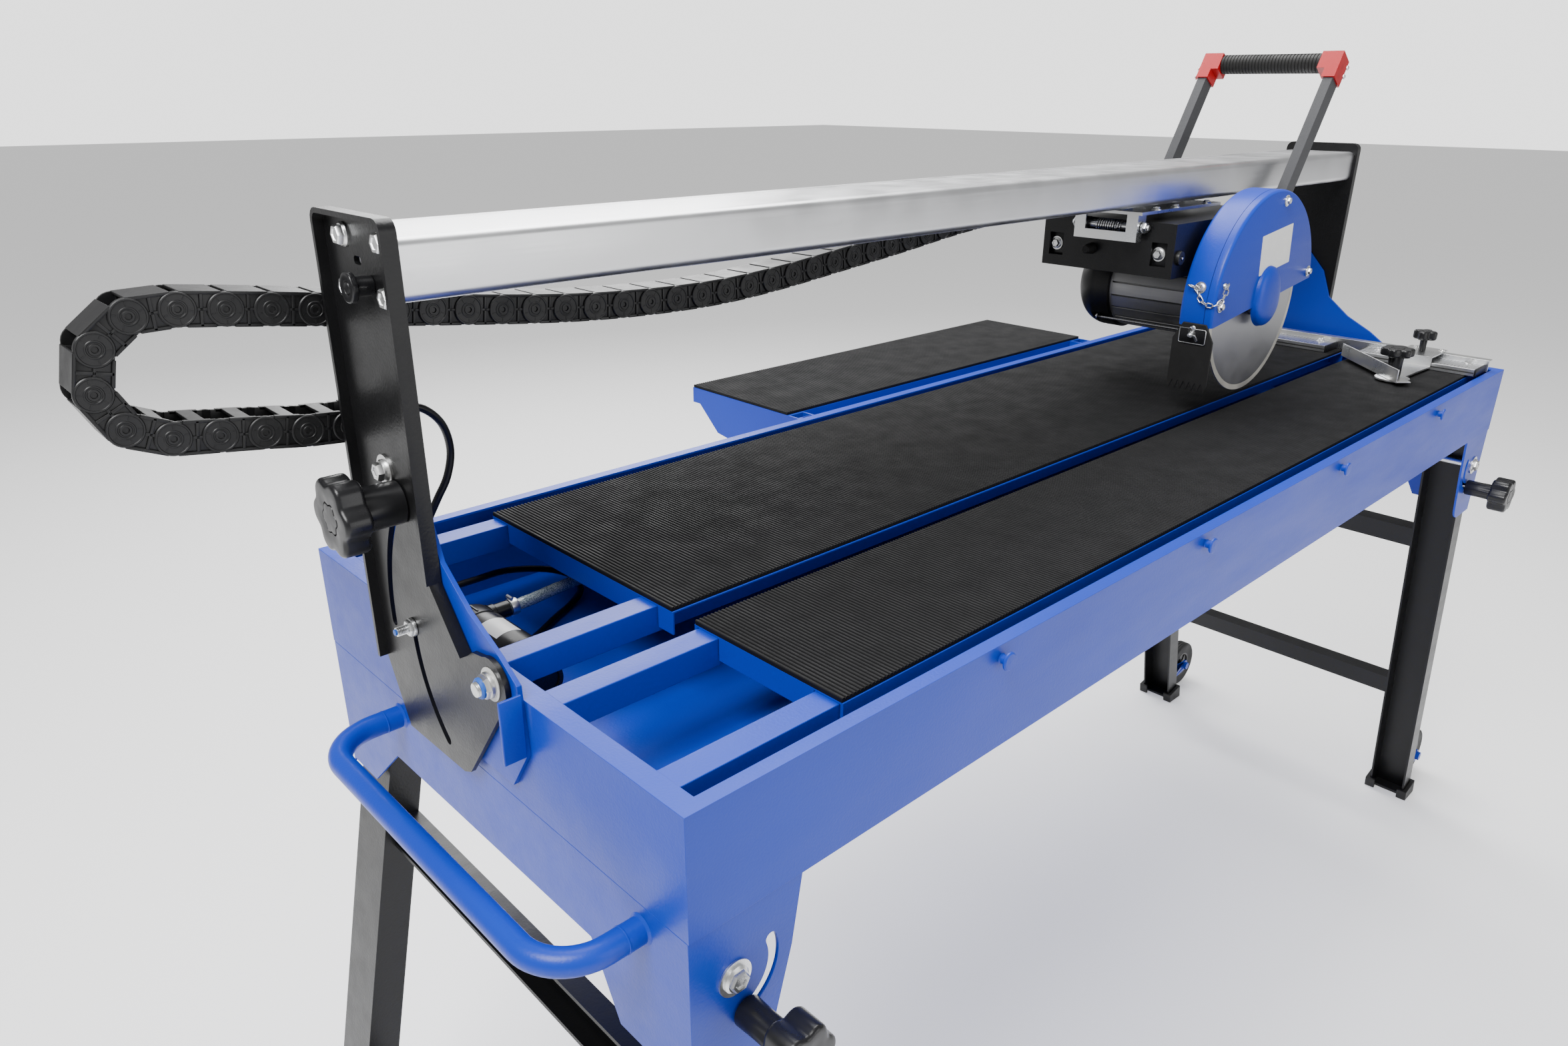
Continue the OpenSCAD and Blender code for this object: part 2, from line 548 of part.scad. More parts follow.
// motor bracket: an open box that hangs from the hinge and carries the motor and handle
box_x = [blade_x - 167, blade_x + 116];
box_y = [blade_y + 40, blade_y + 236];
box_z = [178, 247];
lug_y = [yoke_y[0] + 4, yoke_y[1] - 16];
module motor_bracket() placed() color("#17181a") {
    difference() {
        union() {
            block([box_x[0], box_y[0], box_z[0]], [box_x[0] + 3, box_y[1], box_z[1]]);
            block([box_x[0], box_y[0], box_z[1] - 3], [box_x[1], box_y[1], box_z[1]]);
            for (y = [box_y[0], box_y[1] - 3]) along_y(y, 3) polygon([[box_x[0], box_z[0]],
                [box_x[1] + 30, box_z[0]], [box_x[1] + 30, box_z[0] + 38],
                [box_x[1], box_z[1]], [box_x[0], box_z[1]]]);
            for (y = lug_y) {
                block([hinge_at[0] - 4, y, hinge_at[1] - 8], [box_x[0] + 1, y + 12, hinge_at[1] + 4]);
                translate([hinge_at[0], 0, hinge_at[1]]) rod_y(y, y + 12, 8.5);
            }
        }
        translate([hinge_at[0], 0, hinge_at[1]]) rod_y(box_y[0], box_y[1], hinge_r + run_fit);
        at_blade() rod_y(box_y[0] - 1, box_y[1] + 1, motor_r + 9);
        for (y = [box_y[0] + 10, box_y[1] - 32])
            block([box_x[0] - 1, y, box_z[0] + 14], [box_x[0] + 4, y + 22, box_z[0] + 44]);
    }
    // saddle on top of the motor
    difference() {
        block([blade_x - 32, box_y[0] + 20, blade_z + 40], [blade_x + 32, box_y[1] - 60, box_z[1] - 2.9]);
        block([blade_x - 26, box_y[0] + 19, blade_z + 39], [blade_x + 26, box_y[1] - 59, box_z[1] - 3]);
        translate([blade_x, 0, blade_z]) rod_y(box_y[0], box_y[1], motor_r + 0.02);
    }
}

motor_y = [blade_y + 32.5, blade_y + 187];
module at_blade() translate([blade_x, 0, blade_z]) children();
module motor_housing() placed() color("#8d9094") at_blade() difference() {
    rod_y(motor_y[0], motor_y[1], motor_r);
    rod_y(motor_y[0] + 6, motor_y[1] - 6, motor_r - 8);
    rod_y(motor_y[0] - 1, motor_y[0] + 7, shaft_r + 2);
    rod_y(motor_y[1] - 7, motor_y[1] + 1, shaft_r + 2);
    // cooling grooves along the lower half
    for (a = [-12:12:192]) rotate([0, 180 - a, 0])
        block([motor_r - 5, motor_y[0] - 1, -2], [motor_r + 1, motor_y[1] + 1, 2]);
}
nut_r = 4;
module tie_places() for (a = [45:90:315]) rotate([0, a, 0]) translate([motor_r + 5.5, 0, 0])
    children();
module motor_end_cap() placed() color("#18191b") at_blade() difference() {
    rotate([-90, 0, 0]) rotate_extrude($fn = 64) polygon(concat([[0, motor_y[1] + 0.3],
        [motor_r + 4, motor_y[1] + 0.3], [motor_r + 4, motor_y[1] + 26]],
        arc([motor_r - 32, motor_y[1] + 26], 36, 0, 90, 8), [[0, motor_y[1] + 62]]));
    // notches that the tie rods lie in
    tie_places() rod_y(motor_y[1] - 1, motor_y[1] + 34, nut_r + gap);
}
module motor_tie_rods() placed() color("gainsboro") at_blade() tie_places() {
    rod_y(motor_y[0], motor_y[1] + 22, nut_r / 2);
    rod_y(motor_y[1] + 22, motor_y[1] + 26, nut_r, $fn = 6);
}

// two-part blade guard: a half drum, tipped so that its near end is the lower one
guard_y = [blade_y - 15, blade_y + 32];
guard_split = blade_y - 3;
guard_t = 2.5;
guard_tip = 7;
module half_drum(r, y0, y1) at_blade() rotate([0, -guard_tip, 0]) difference() {
    rod_y(y0, y1, r, $fn = 96);
    block([-200, y0 - 1, -200], [200, y1 + 1, 0]);
}
module guard_boss(r, y0, y1) at_blade() rod_y(y0, y1, r);
module guard_front() placed() color("royalblue") difference() {
    union() {
        half_drum(guard_r, guard_y[0], guard_split);
        guard_boss(34, guard_y[0], guard_split);
        guard_boss(24, guard_y[0] - 12, guard_split);
    }
    half_drum(guard_r - guard_t, guard_y[0] + guard_t, guard_split + 1);
    at_blade() rotate([0, -guard_tip, 0]) block([-guard_r + guard_t, guard_y[0] + guard_t, -80],
        [guard_r - guard_t, guard_split + 1, 0.01]);
    guard_boss(22, guard_y[0] - 10, guard_split + 1);
    guard_bolt_places() rod_y(guard_y[0] - 1, guard_split + 1, 3);
}
module guard_back() placed() color("royalblue") difference() {
    half_drum(guard_r, guard_split, guard_y[1]);
    half_drum(guard_r - guard_t, guard_split - 1, guard_y[1] - guard_t);
    guard_boss(30, guard_split - 1, guard_y[1] + 1);
    at_blade() rotate([0, -guard_tip, 0]) block([-60, guard_split - 1, -1], [60, guard_y[1] + 1, 20]);
}
// bolts at the top, at the far edge and at the near lower corner
module guard_bolt_places() for (a = [82, 12, 176]) at_blade()
    translate([(guard_r - 14) * cos(a), 0, (guard_r - 14) * sin(a)]) children();
module guard_bolts() placed() color("gainsboro") guard_bolt_places() {
    rod_y(guard_y[0] - 1.2, guard_y[1] - guard_t, 3);
    rod_y(guard_y[0] - 1.5, guard_y[0], 8);
    rod_y(guard_y[0] - 6, guard_y[0] - 1.4, 5.5, $fn = 6);
}

// toothed rubber flap under the guard's near end
flap_y = [guard_y[0] - 6, guard_y[1] + 3];
flap_t = 3;
flap_z = [34, blade_z - 13];
teeth = 7;
tooth = (flap_y[1] - flap_y[0]) / teeth;
module splash_flap() placed() color("#141415") along_x(blade_x - guard_r - flap_t,
    flap_t) polygon(concat(
    [for (i = [0:teeth - 1]) each [[flap_y[0] + i * tooth, flap_z[0] + 12],
        [flap_y[0] + (i + 0.5) * tooth, flap_z[0]]]],
    [[flap_y[1], flap_z[0] + 12], [flap_y[1], flap_z[1] - 22], [flap_y[1] - 12, flap_z[1]],
    [flap_y[0] + 12, flap_z[1]], [flap_y[0], flap_z[1] - 22]]));

// handle: two leaning arms that straddle the rail
arm_w = 14;
core_r = grip_r - 5;
arm_d = 24;
arm_lean = 32;
arm_foot = [blade_x + 122, 196];
arm_l = 291;
handle_arm_y = [box_y[0] + 5, box_y[1] + 3];
arm_tip = arm_foot + arm_l * [sin(arm_lean), cos(arm_lean)];
module handle_arm(y) translate([arm_foot[0], y, arm_foot[1]]) rotate([0, arm_lean, 0])
    block([-arm_d / 2, 0, -16], [arm_d / 2, arm_w, arm_l + corner_l[1] - corner_t]);
module handle_frame() placed() color("#4a4c50") {
    for (y = handle_arm_y) handle_arm(y);
    // pads between the arms and the bracket
    translate([arm_foot[0], 0, arm_foot[1]]) {
        rod_y(box_y[0] + 3, box_y[0] + 5.01, 11);
        rod_y(box_y[1], box_y[1] + 3.01, 11);
    }
    translate([arm_tip[0], 0, arm_tip[1]]) 
        rod_y(handle_arm_y[0] + 1, handle_arm_y[1] + arm_w - 1, core_r);
}
corner_t = 2.5;
corner_l = [-30, 11];              // a corner's reach along its arm, from the grip's axis
corner_in = 14;                    // how far it reaches over the grip's end
// a corner over one arm's end; inward is 1 or -1, towards the grip
module handle_corner(y, inward) difference() {
    translate([arm_tip[0], y + arm_w / 2, arm_tip[1]]) rotate([0, arm_lean, 0])
        union() {
            block([-arm_d / 2 - corner_t, -arm_w / 2 - corner_t, corner_l[0]],
                [arm_d / 2 + corner_t, arm_w / 2 + corner_t, corner_l[1]]);
            block([-arm_d / 2 - corner_t, min(0, inward * (arm_w / 2 + corner_in)), -grip_r - 2],
                [arm_d / 2 + corner_t, max(0, inward * (arm_w / 2 + corner_in)), corner_l[1]]);
        }
    handle_arm(y);
    translate([arm_tip[0], 0, arm_tip[1]]) rod_y(handle_arm_y[0] + 1, handle_arm_y[1] + arm_w - 1, core_r);
}
module handle_corners() placed() color("#c8202a") {
    handle_corner(handle_arm_y[0], 1);
    handle_corner(handle_arm_y[1], -1);
}
module handle_grip() placed() color("#1c1d1f") translate([arm_tip[0], 0, arm_tip[1]]) difference() {
    rod_y(handle_arm_y[0] + arm_w + corner_in + 0.1, handle_arm_y[1] - corner_in - 0.1, grip_r);
    rod_y(handle_arm_y[0], handle_arm_y[1] + arm_w, core_r + 0.02);
}

// blade on its shaft, between two flanges
flange_r = 24;
module blade() placed() color("lightgray") at_blade() difference() {
    rod_y(blade_y - blade_t / 2, blade_y + blade_t / 2, blade_r, $fn = 128);
    rod_y(blade_y - blade_t, blade_y + blade_t, shaft_r - 1 + 0.02);
}
module spindle() placed() color("silver") at_blade() {
    rod_y(blade_y - 16, motor_y[1] - 10, shaft_r - 1);
    rod_y(blade_y - blade_t / 2 - 5, blade_y - blade_t / 2, flange_r - 4);
    rod_y(blade_y + blade_t / 2, blade_y + blade_t / 2 + 6, flange_r - 4);
    rod_y(blade_y - blade_t / 2 - 13, blade_y - blade_t / 2 - 5, 13, $fn = 6);
    rod_y(motor_y[0] + 26, motor_y[1] - 26, motor_r - 22);
}

// brackets under the tub's ends: an apron across the end and a slotted cheek at each side
cheek_y = 1;
cheek_t = 3;
slot_r = 36;
slot_from = -75;
fold_max = 95;
bracket_z = -236;
at_leg = [leg_pin_in, leg_pin_z];
module cheek() difference() {
    along_y(cheek_y, cheek_t) polygon(concat([[0, bracket_z], [0, -tub_d], [102, -tub_d],
        [92, leg_pin_z - 6]], arc([leg_pin_in + 14, bracket_z + 24], 24, -28, -90, 4)));
    translate([at_leg[0], 0, at_leg[1]]) rod_y(0, 5, leg_pin_r);
    translate([at_leg[0], cheek_y + cheek_t + 1, at_leg[1]]) rotate([90, 0, 0])
        arc_slot(slot_r, 9, slot_from, slot_from + fold_max, cheek_t + 2);
}
module leg_bracket() {
    cheek();
    back_side() cheek();
    along_x(0, 3) polygon([[cheek_y, -tub_d], [cheek_y, -231], [86, -231], [118, -171],
        [tub_w - 118, -174], [tub_w - 54, -233], [tub_w - cheek_y, -233], [tub_w - cheek_y, -tub_d]]);
}
module leg_brackets() placed() color("royalblue") both_ends() leg_bracket();
leg_y = 5;
module leg_pin() translate([at_leg[0], 0, at_leg[1]]) {
    rod_y(cheek_y, leg_y + leg_w + 1, leg_pin_r);
    rod_y(cheek_y - 1.5, cheek_y, 11);
    rod_y(cheek_y - 7, cheek_y - 1.4, 9, $fn = 6);
    rod_y(leg_y + leg_w + 0.5, leg_y + leg_w + 6, 8.5, $fn = 6);
}
module leg_pins() placed() color("gainsboro") both_ends() both_sides() leg_pin();

// leg frames: two channels that open inwards, with two crossbars
leg_wall = 3;
foot_h = 26;
foot_t = 6;
leg_len = (table_h + leg_pin_z) / leg_cos;
crossbar_d = [147, 468];
crossbar_h = 35;
// a leg's own frame: origin at the pivot, Z up along the leg, web towards -X
module in_leg() translate([at_leg[0], 0, at_leg[1]]) rotate([0, leg_lean, 0]) children();
module leg() difference() {
    block([-leg_back, leg_y, 4 - leg_len], [leg_d - leg_back, leg_y + leg_w, 26]);
    block([leg_wall - leg_back, leg_y + leg_wall, -leg_len - 1],
        [leg_d, leg_y + leg_w - leg_wall, 27]);
    rod_y(leg_y - 1, leg_y + leg_w + 1, leg_pin_r + run_fit);
    rotate([0, -leg_lean, 0]) translate([slot_r * cos(slot_from), 0, slot_r * sin(slot_from)])
        rod_y(leg_y - 1, leg_y + leg_wall + 1, 4 + run_fit);
}
module floor_cut() block([-400, -50, -table_h - 60], [400, tub_w + 50, foot_t - table_h]);
module leg_frame() difference() {
    in_leg() {
        both_sides() leg();
        for (d = crossbar_d) difference() {
            block([0, leg_y + leg_w - leg_wall - 0.01, -d - crossbar_h / 2],
                [leg_d - leg_back, tub_w - leg_y - leg_w + leg_wall + 0.01, crossbar_h / 2 - d]);
            block([-1, 0, -d - crossbar_h / 2 + leg_wall],
                [leg_d - leg_back - leg_wall, tub_w, crossbar_h / 2 - d - leg_wall]);
        }
    }
    floor_cut();
}
module leg_frame_near() placed() color("#1d1e20") leg_frame();
module leg_frame_far() placed() color("#1d1e20") far_end() leg_frame();

// plastic shoes, cut level with the floor
module shoe() difference() {
    in_leg() block([-leg_back - 5, leg_y - 7, -leg_len - 20],
        [leg_d - leg_back + 5, leg_y + leg_w + 7, foot_h - leg_len]);
    in_leg() block([-leg_back, leg_y, -leg_len - 20], [leg_d - leg_back, leg_y + leg_w, 0]);
    in_leg() block([leg_d - leg_back - 8, leg_y + 10, -leg_len - 21],
        [leg_d - leg_back + 6, leg_y + leg_w - 10, foot_h + 1 - leg_len]);
    block([-400, -50, -table_h - 60], [400, tub_w + 50, -table_h]);
}
module shoe_sole() intersection() {
    in_leg() block([-leg_back - 1, leg_y - 1, -leg_len - 20],
        [leg_d - leg_back - 7, leg_y + leg_w + 1, 40 - leg_len]);
    block([-400, -50, -table_h], [400, tub_w + 50, foot_t - table_h]);
}
module feet() both_sides() {
    shoe();
    shoe_sole();
}
module feet_near() placed() color("#151516") feet();
module feet_far() placed() color("#151516") far_end() feet();

// transport wheels behind the far legs, in forks bolted to the legs' webs
wheel_w = 24;
wheel_y = leg_y + leg_w / 2;
axle_r = 5;
fork_t = 3;
fork_y = wheel_w / 2 + 3;
fork_z = [foot_h + 8 - table_h, wheel_z + 18];
module at_wheel() translate([-wheel_out, wheel_y, wheel_z]) children();
module fork() {
    difference() {
        for (y = [-fork_y - fork_t, fork_y]) translate([0, wheel_y, 0]) along_y(y, fork_t)
            polygon(concat(arc([-wheel_out, wheel_z], 12, 60, 250, 8),
                [for (z = fork_z) [leg_pin_in - web_out(z), z]]));
        at_wheel() rod_y(-fork_y - 5, fork_y + 5, axle_r);
    }
    translate([leg_pin_in, 0, leg_pin_z]) rotate([0, leg_lean, 0]) translate([-leg_back - 3, wheel_y, 0])
        block([0, -fork_y - fork_t, -fork_reach[0]], [3, fork_y + fork_t, -fork_reach[1]]);
    at_wheel() {
        rod_y(-fork_y - fork_t - 3, fork_y + fork_t + 3, axle_r);
        rod_y(-fork_y - fork_t - 6, -fork_y - fork_t, 8, $fn = 6);
        rod_y(fork_y + fork_t, fork_y + fork_t + 6, 8, $fn = 6);
    }
}
// where the fork's back plate lies, along the leg from its pivot
fork_reach = [for (z = fork_z) (leg_pin_z - z) / leg_cos];
module wheel() at_wheel() difference() {
    rod_y(-wheel_w / 2, wheel_w / 2, wheel_r, $fn = 96);
    rod_y(-wheel_w / 2 - 1, wheel_w / 2 + 1, axle_r + run_fit);
}
module wheel_forks() placed() color("royalblue") far_end() both_sides() fork();
module wheel_front() placed() color("#1b1b1c") far_end() wheel();
module wheel_back() placed() color("#1b1b1c") far_end() back_side() wheel();

// clamp knobs of the legs, whose studs pass through the cheeks' slots
stem_out = 36;
module leg_knob() translate([at_leg[0] + slot_r * cos(slot_from), cheek_y - gap,
    at_leg[1] + slot_r * sin(slot_from)]) rotate([90, 0, 0])
    star_knob(27, knob_out + cheek_y - gap - stem_out, 12, stem_out, 4, leg_y + leg_wall - cheek_y + gap);
module leg_knob_near_front() placed() color("#1c1d1f") leg_knob();
module leg_knob_near_back() placed() color("#1c1d1f") back_side() leg_knob();
module leg_knob_far_front() placed() color("#1c1d1f") far_end() leg_knob();
module leg_knob_far_back() placed() color("#1c1d1f") far_end() back_side() leg_knob();

tub();
support_bars();
table_plates();
mats();
pivot_brackets();
leg_brackets();
lift_handle();
hook_studs();
tilt_pins();
leg_pins();
pump();
water_hose();
hose_tail();
pump_cable();
ruler_bars();
ruler_backing();
post_near();
post_far();
rail();
rail_bolts();
cable_chain();
lock_knob();
tilt_knob_near();
tilt_knob_far();
carriage_plate();
roller_axles();
roller_pair_near();
roller_pair_far();
plunge_pin();
plunge_spring();
motor_bracket();
motor_housing();
motor_end_cap();
motor_tie_rods();
guard_back();
guard_front();
guard_bolts();
splash_flap();
handle_frame();
handle_corners();
handle_grip();
blade();
spindle();
fence_slider();
fence_knob();
angle_bar();
angle_knob();
side_table();
side_mat();
leg_frame_near();
leg_frame_far();
feet_near();
feet_far();
wheel_forks();
wheel_front();
wheel_back();
leg_knob_near_front();
leg_knob_near_back();
leg_knob_far_front();
leg_knob_far_back();
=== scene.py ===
from math import cos, radians, sin
import bpy
import numpy as np
from mathutils import Matrix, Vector
from numpy.linalg import norm


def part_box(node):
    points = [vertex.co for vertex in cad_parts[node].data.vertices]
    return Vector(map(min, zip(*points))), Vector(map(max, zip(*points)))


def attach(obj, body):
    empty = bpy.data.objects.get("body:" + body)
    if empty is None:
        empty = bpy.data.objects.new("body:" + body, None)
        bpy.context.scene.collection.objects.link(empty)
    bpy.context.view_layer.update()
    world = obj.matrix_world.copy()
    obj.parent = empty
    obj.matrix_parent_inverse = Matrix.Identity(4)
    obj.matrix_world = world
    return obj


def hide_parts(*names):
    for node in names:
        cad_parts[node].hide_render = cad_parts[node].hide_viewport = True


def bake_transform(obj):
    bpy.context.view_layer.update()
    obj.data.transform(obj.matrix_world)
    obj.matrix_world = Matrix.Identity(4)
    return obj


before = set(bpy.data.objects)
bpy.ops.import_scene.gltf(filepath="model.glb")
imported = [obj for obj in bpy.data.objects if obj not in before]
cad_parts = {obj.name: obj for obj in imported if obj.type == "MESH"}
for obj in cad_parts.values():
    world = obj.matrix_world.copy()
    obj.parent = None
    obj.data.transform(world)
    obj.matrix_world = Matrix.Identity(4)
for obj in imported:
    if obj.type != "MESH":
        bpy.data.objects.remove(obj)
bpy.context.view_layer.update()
link = bpy.context.scene.collection.objects.link

# Every length below is in millimetres from the tub's near front top corner, unless it says metres:
# X along the tub, Y from the front to the back, Z up from the tables' working surface.
tubLow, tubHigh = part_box("tub")
corner = np.array([tubLow.x, tubLow.y, tubHigh.z])
toNear, toFar, toFront, toBack, toTop = (-1, 0, 0), (1, 0, 0), (0, -1, 0), (0, 1, 0), (0, 0, 1)


def toRow(points):
    # millimetres from the tub's corner to metres in the model's frame
    return np.asarray(points, float) / 1000 + corner


def span(node):
    # lowest and highest corner of a node, in millimetres from the tub's corner
    low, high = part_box(node)
    return (np.array(low) - corner) * 1000, (np.array(high) - corner) * 1000


# A shell is (points, faces), and a piece is made of one or more shells.

def gridShell(points, closeU=False, closeV=False, caps=False):
    # S(i, j) = points[i, j]: quads between neighbours, wrapped where closed, rings capped by one face
    nu, nv = points.shape[:2]
    i = np.arange(nu if closeU else nu - 1)[:, None]
    j = np.arange(nv if closeV else nv - 1)[None, :]
    a, b = i * nv + j, ((i + 1) % nu) * nv + j
    c, d = ((i + 1) % nu) * nv + (j + 1) % nv, i * nv + (j + 1) % nv
    faces = np.stack([a + 0 * b, b, c, d], -1).reshape(-1, 4).tolist()
    if caps:
        faces += [list(range(nv))[::-1], list(range((nu - 1) * nv, nu * nv))]
    return outward(points.reshape(-1, 3), faces)


def outward(points, faces):
    # six times the volume is the sum of a . (b x c) over the fans; a negative one means inside out
    a, b, c = points[[(f[0], f[k], f[k + 1]) for f in faces for k in range(1, len(f) - 1)]].transpose(1, 0, 2)
    inward = np.einsum("ij,ij->", a, np.cross(b, c)) < 0
    return points, [f[::-1] for f in faces] if inward else faces


def axes(axis):
    # two directions across an axis, so that (u, v, axis) is right-handed
    w = np.asarray(axis, float) / norm(axis)
    u = np.cross([0, 0, 1] if abs(w[2]) < 0.9 else [0, 1, 0], w)
    u /= norm(u)
    return u, np.cross(w, u), w


def lathe(profile, centre, axis, sides=48, closed=False, radial=None):
    # S(h, t) = c + r(h) k(t, h) (u cos t + v sin t) + h w, with (r, h) along the profile
    u, v, w = axes(axis)
    t = np.arange(sides) * 2 * np.pi / sides
    r, h = np.asarray(profile, float).T
    k = np.ones((len(r), sides)) if radial is None else radial(t[None, :], h[:, None])
    out = (np.cos(t)[None, :, None] * u + np.sin(t)[None, :, None] * v) * (r[:, None] * k)[..., None]
    points = np.asarray(centre, float) + out + h[:, None, None] * w
    return gridShell(points, closeU=closed, closeV=True, caps=not closed)


def inset(outline, d):
    # each corner moves inwards by d from both of its edges
    p = np.asarray(outline, float)
    e = np.roll(p, -1, 0) - p
    n = np.stack([-e[:, 1], e[:, 0]], 1) / norm(e, axis=1)[:, None]
    m = n + np.roll(n, 1, 0)
    m /= np.maximum((m * np.roll(n, 1, 0)).sum(1), 0.3)[:, None]
    area = (p[:, 0] * np.roll(p[:, 1], -1) - np.roll(p[:, 0], -1) * p[:, 1]).sum()
    return p + m * d * np.sign(area)


def prism(outline, axis, low, high, bevel=0.6, steps=2):
    # an outline in the two other axes, from low to high along the axis, its rims rounded by a quarter circle
    a = np.linspace(0, np.pi / 2, steps + 1)
    levels = [(low + bevel * (1 - cos(t)), bevel * (1 - sin(t))) for t in a]
    levels += [(high - bevel * (1 - cos(t)), bevel * (1 - sin(t))) for t in a[::-1]]
    rings = [np.insert(inset(outline, d) if d > 1e-9 else np.asarray(outline, float), axis, h, axis=1)
             for h, d in levels]
    return gridShell(np.array(rings), closeV=True, caps=True)


def arcPoints(centre, r, a0, a1, n=6):
    # c + r (cos a, sin a), in degrees
    a = np.radians(np.linspace(a0, a1, n + 1))
    return [(centre[0] + r * cos(t), centre[1] + r * sin(t)) for t in a]


def roundRect(x0, y0, x1, y1, r, n=4):
    # a rectangle whose corners are quarter circles
    corners = ((x1 - r, y1 - r, 0), (x0 + r, y1 - r, 90), (x0 + r, y0 + r, 180), (x1 - r, y0 + r, 270))
    return [p for x, y, a in corners for p in arcPoints((x, y), r, a, a + 90, n)]


def boxShell(low, high, bevel=0.6, corner2d=1.0):
    # a block whose upright edges and rims are rounded
    outline = roundRect(low[0], low[1], high[0], high[1], corner2d, 3)
    return prism(outline, 2, low[2], high[2], bevel)


def sweep(profile, path, closedPath=False, closedProfile=True, up=toTop):
    # S(i, j) = p(i) + x(j) s(i) + y(j) n(i), with the frame (s, n) carried along the path without twist
    p = np.asarray(path, float)
    d = np.roll(p, -1, 0) - np.roll(p, 1, 0)
    if not closedPath:
        d[0], d[-1] = p[1] - p[0], p[-1] - p[-2]
    d /= norm(d, axis=1)[:, None]
    n = np.array(up, float)
    rows = []
    for k in range(len(p)):
        n = n - d[k] * (n @ d[k])
        n /= norm(n)
        rows.append((np.cross(n, d[k]), n))
    s, m = np.array([r[0] for r in rows]), np.array([r[1] for r in rows])
    q = np.asarray(profile, float)
    points = p[:, None] + s[:, None] * q[None, :, :1] + m[:, None] * q[None, :, 1:]
    return gridShell(points, closeU=closedPath, closeV=closedProfile, caps=not closedPath)


def circle(r, n=16):
    # r (cos t, sin t)
    t = np.arange(n) * 2 * np.pi / n
    return np.stack([r * np.cos(t), r * np.sin(t)], 1)


def distances(points):
    # how far along a line each of its points lies
    return np.concatenate([[0], np.cumsum(norm(np.diff(points, axis=0), axis=1))])


def evenly(points, places):
    # the points of a line at given distances along it
    way = distances(points)
    return np.stack([np.interp(places, way, line) for line in np.asarray(points).T], 1)


def smoothCurve(points, m):
    # a Catmull-Rom curve through the points: m steps between neighbours
    q = np.asarray(points, float)
    k = np.clip(np.arange(-1, len(q) + 1), 0, len(q) - 1)
    a, b, c, d = (q[k[o:o + len(q) - 1]] for o in range(4))
    t = (np.arange(m) / m)[None, :, None]
    a, b, c, d = (x[:, None] for x in (a, b, c, d))
    curve = 0.5 * (2 * b + (c - a) * t + (2 * a - 5 * b + 4 * c - d) * t ** 2
                   + (3 * b - a - 3 * c + d) * t ** 3)
    return np.vstack([curve.reshape(-1, q.shape[1]), q[-1]])


def moved(shell, turn=None, by=(0, 0, 0)):
    # a shell turned by a 3 x 3 matrix, then moved
    points, faces = shell
    turned = points if turn is None else points @ np.asarray(turn, float).T
    flipped = turn is not None and np.linalg.det(np.asarray(turn, float)) < 0
    return turned + np.asarray(by, float), ([f[::-1] for f in faces] if flipped else faces)


def turned(axis, degrees):
    # the 3 x 3 matrix of a turn about X, Y or Z
    return np.array(Matrix.Rotation(radians(degrees), 3, axis))


def makePiece(name, shells, body, material, replaced=(), sharp=35, blended=None, slotName=None):
    # one object from its shells; it rides on a body, or, when blended is given, rides on none with its
    # transform baked in
    points = np.vstack([s[0] for s in shells])
    faces, base = [], 0
    for s in shells:
        faces += [[i + base for i in f] for f in s[1]]
        base += len(s[0])
    mesh = bpy.data.meshes.new(name)
    mesh.from_pydata(toRow(points), [], faces)
    mesh.validate()
    mesh.shade_smooth()
    mesh.set_sharp_from_angle(angle=radians(sharp))
    mesh.materials.append(material)
    piece = bpy.data.objects.new(name, mesh)
    link(piece)
    if blended:
        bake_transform(piece)
    elif body:
        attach(piece, body)
    slotName = slotName or slotOf[material]
    if replaced:
        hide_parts(*replaced)
    return piece


def build(owner, kind, values=None, **settings):
    # adds one shader node; values are numbers, colours or the output sockets that feed each input
    made = owner.node_tree.nodes.new("ShaderNode" + kind)
    for key, value in settings.items():
        setattr(made, key, value)
    for key, value in (values or {}).items():
        if isinstance(value, bpy.types.NodeSocket):
            owner.node_tree.links.new(value, made.inputs[key])
        else:
            made.inputs[key].default_value = value
    return made


print("camera and lights")
view = {"at": (-320.0, -424.3, 404.8), "azimuth": 43.419, "down": 22.033, "roll": 0.215, "lens": 24.617}
az, down, roll = (radians(view[k]) for k in ("azimuth", "down", "roll"))
ahead = np.array([sin(az) * cos(down), cos(az) * cos(down), -sin(down)])
right = np.array([cos(az), -sin(az), 0])
above = np.cross(right, ahead)
rolledRight = right * cos(roll) + above * sin(roll)
rolledUp = above * cos(roll) - right * sin(roll)
cameraData = bpy.data.cameras.new("camera")
cameraData.lens, cameraData.sensor_width = view["lens"], 36
cameraData.clip_start, cameraData.clip_end = 0.05, 100
camera = bpy.data.objects.new("camera", cameraData)
link(camera)
basis = np.eye(4)
basis[:3, :3] = np.stack([rolledRight, rolledUp, -ahead], 1)
basis[:3, 3] = toRow(view["at"])
camera.matrix_world = Matrix(basis.tolist())
bpy.context.scene.camera = camera

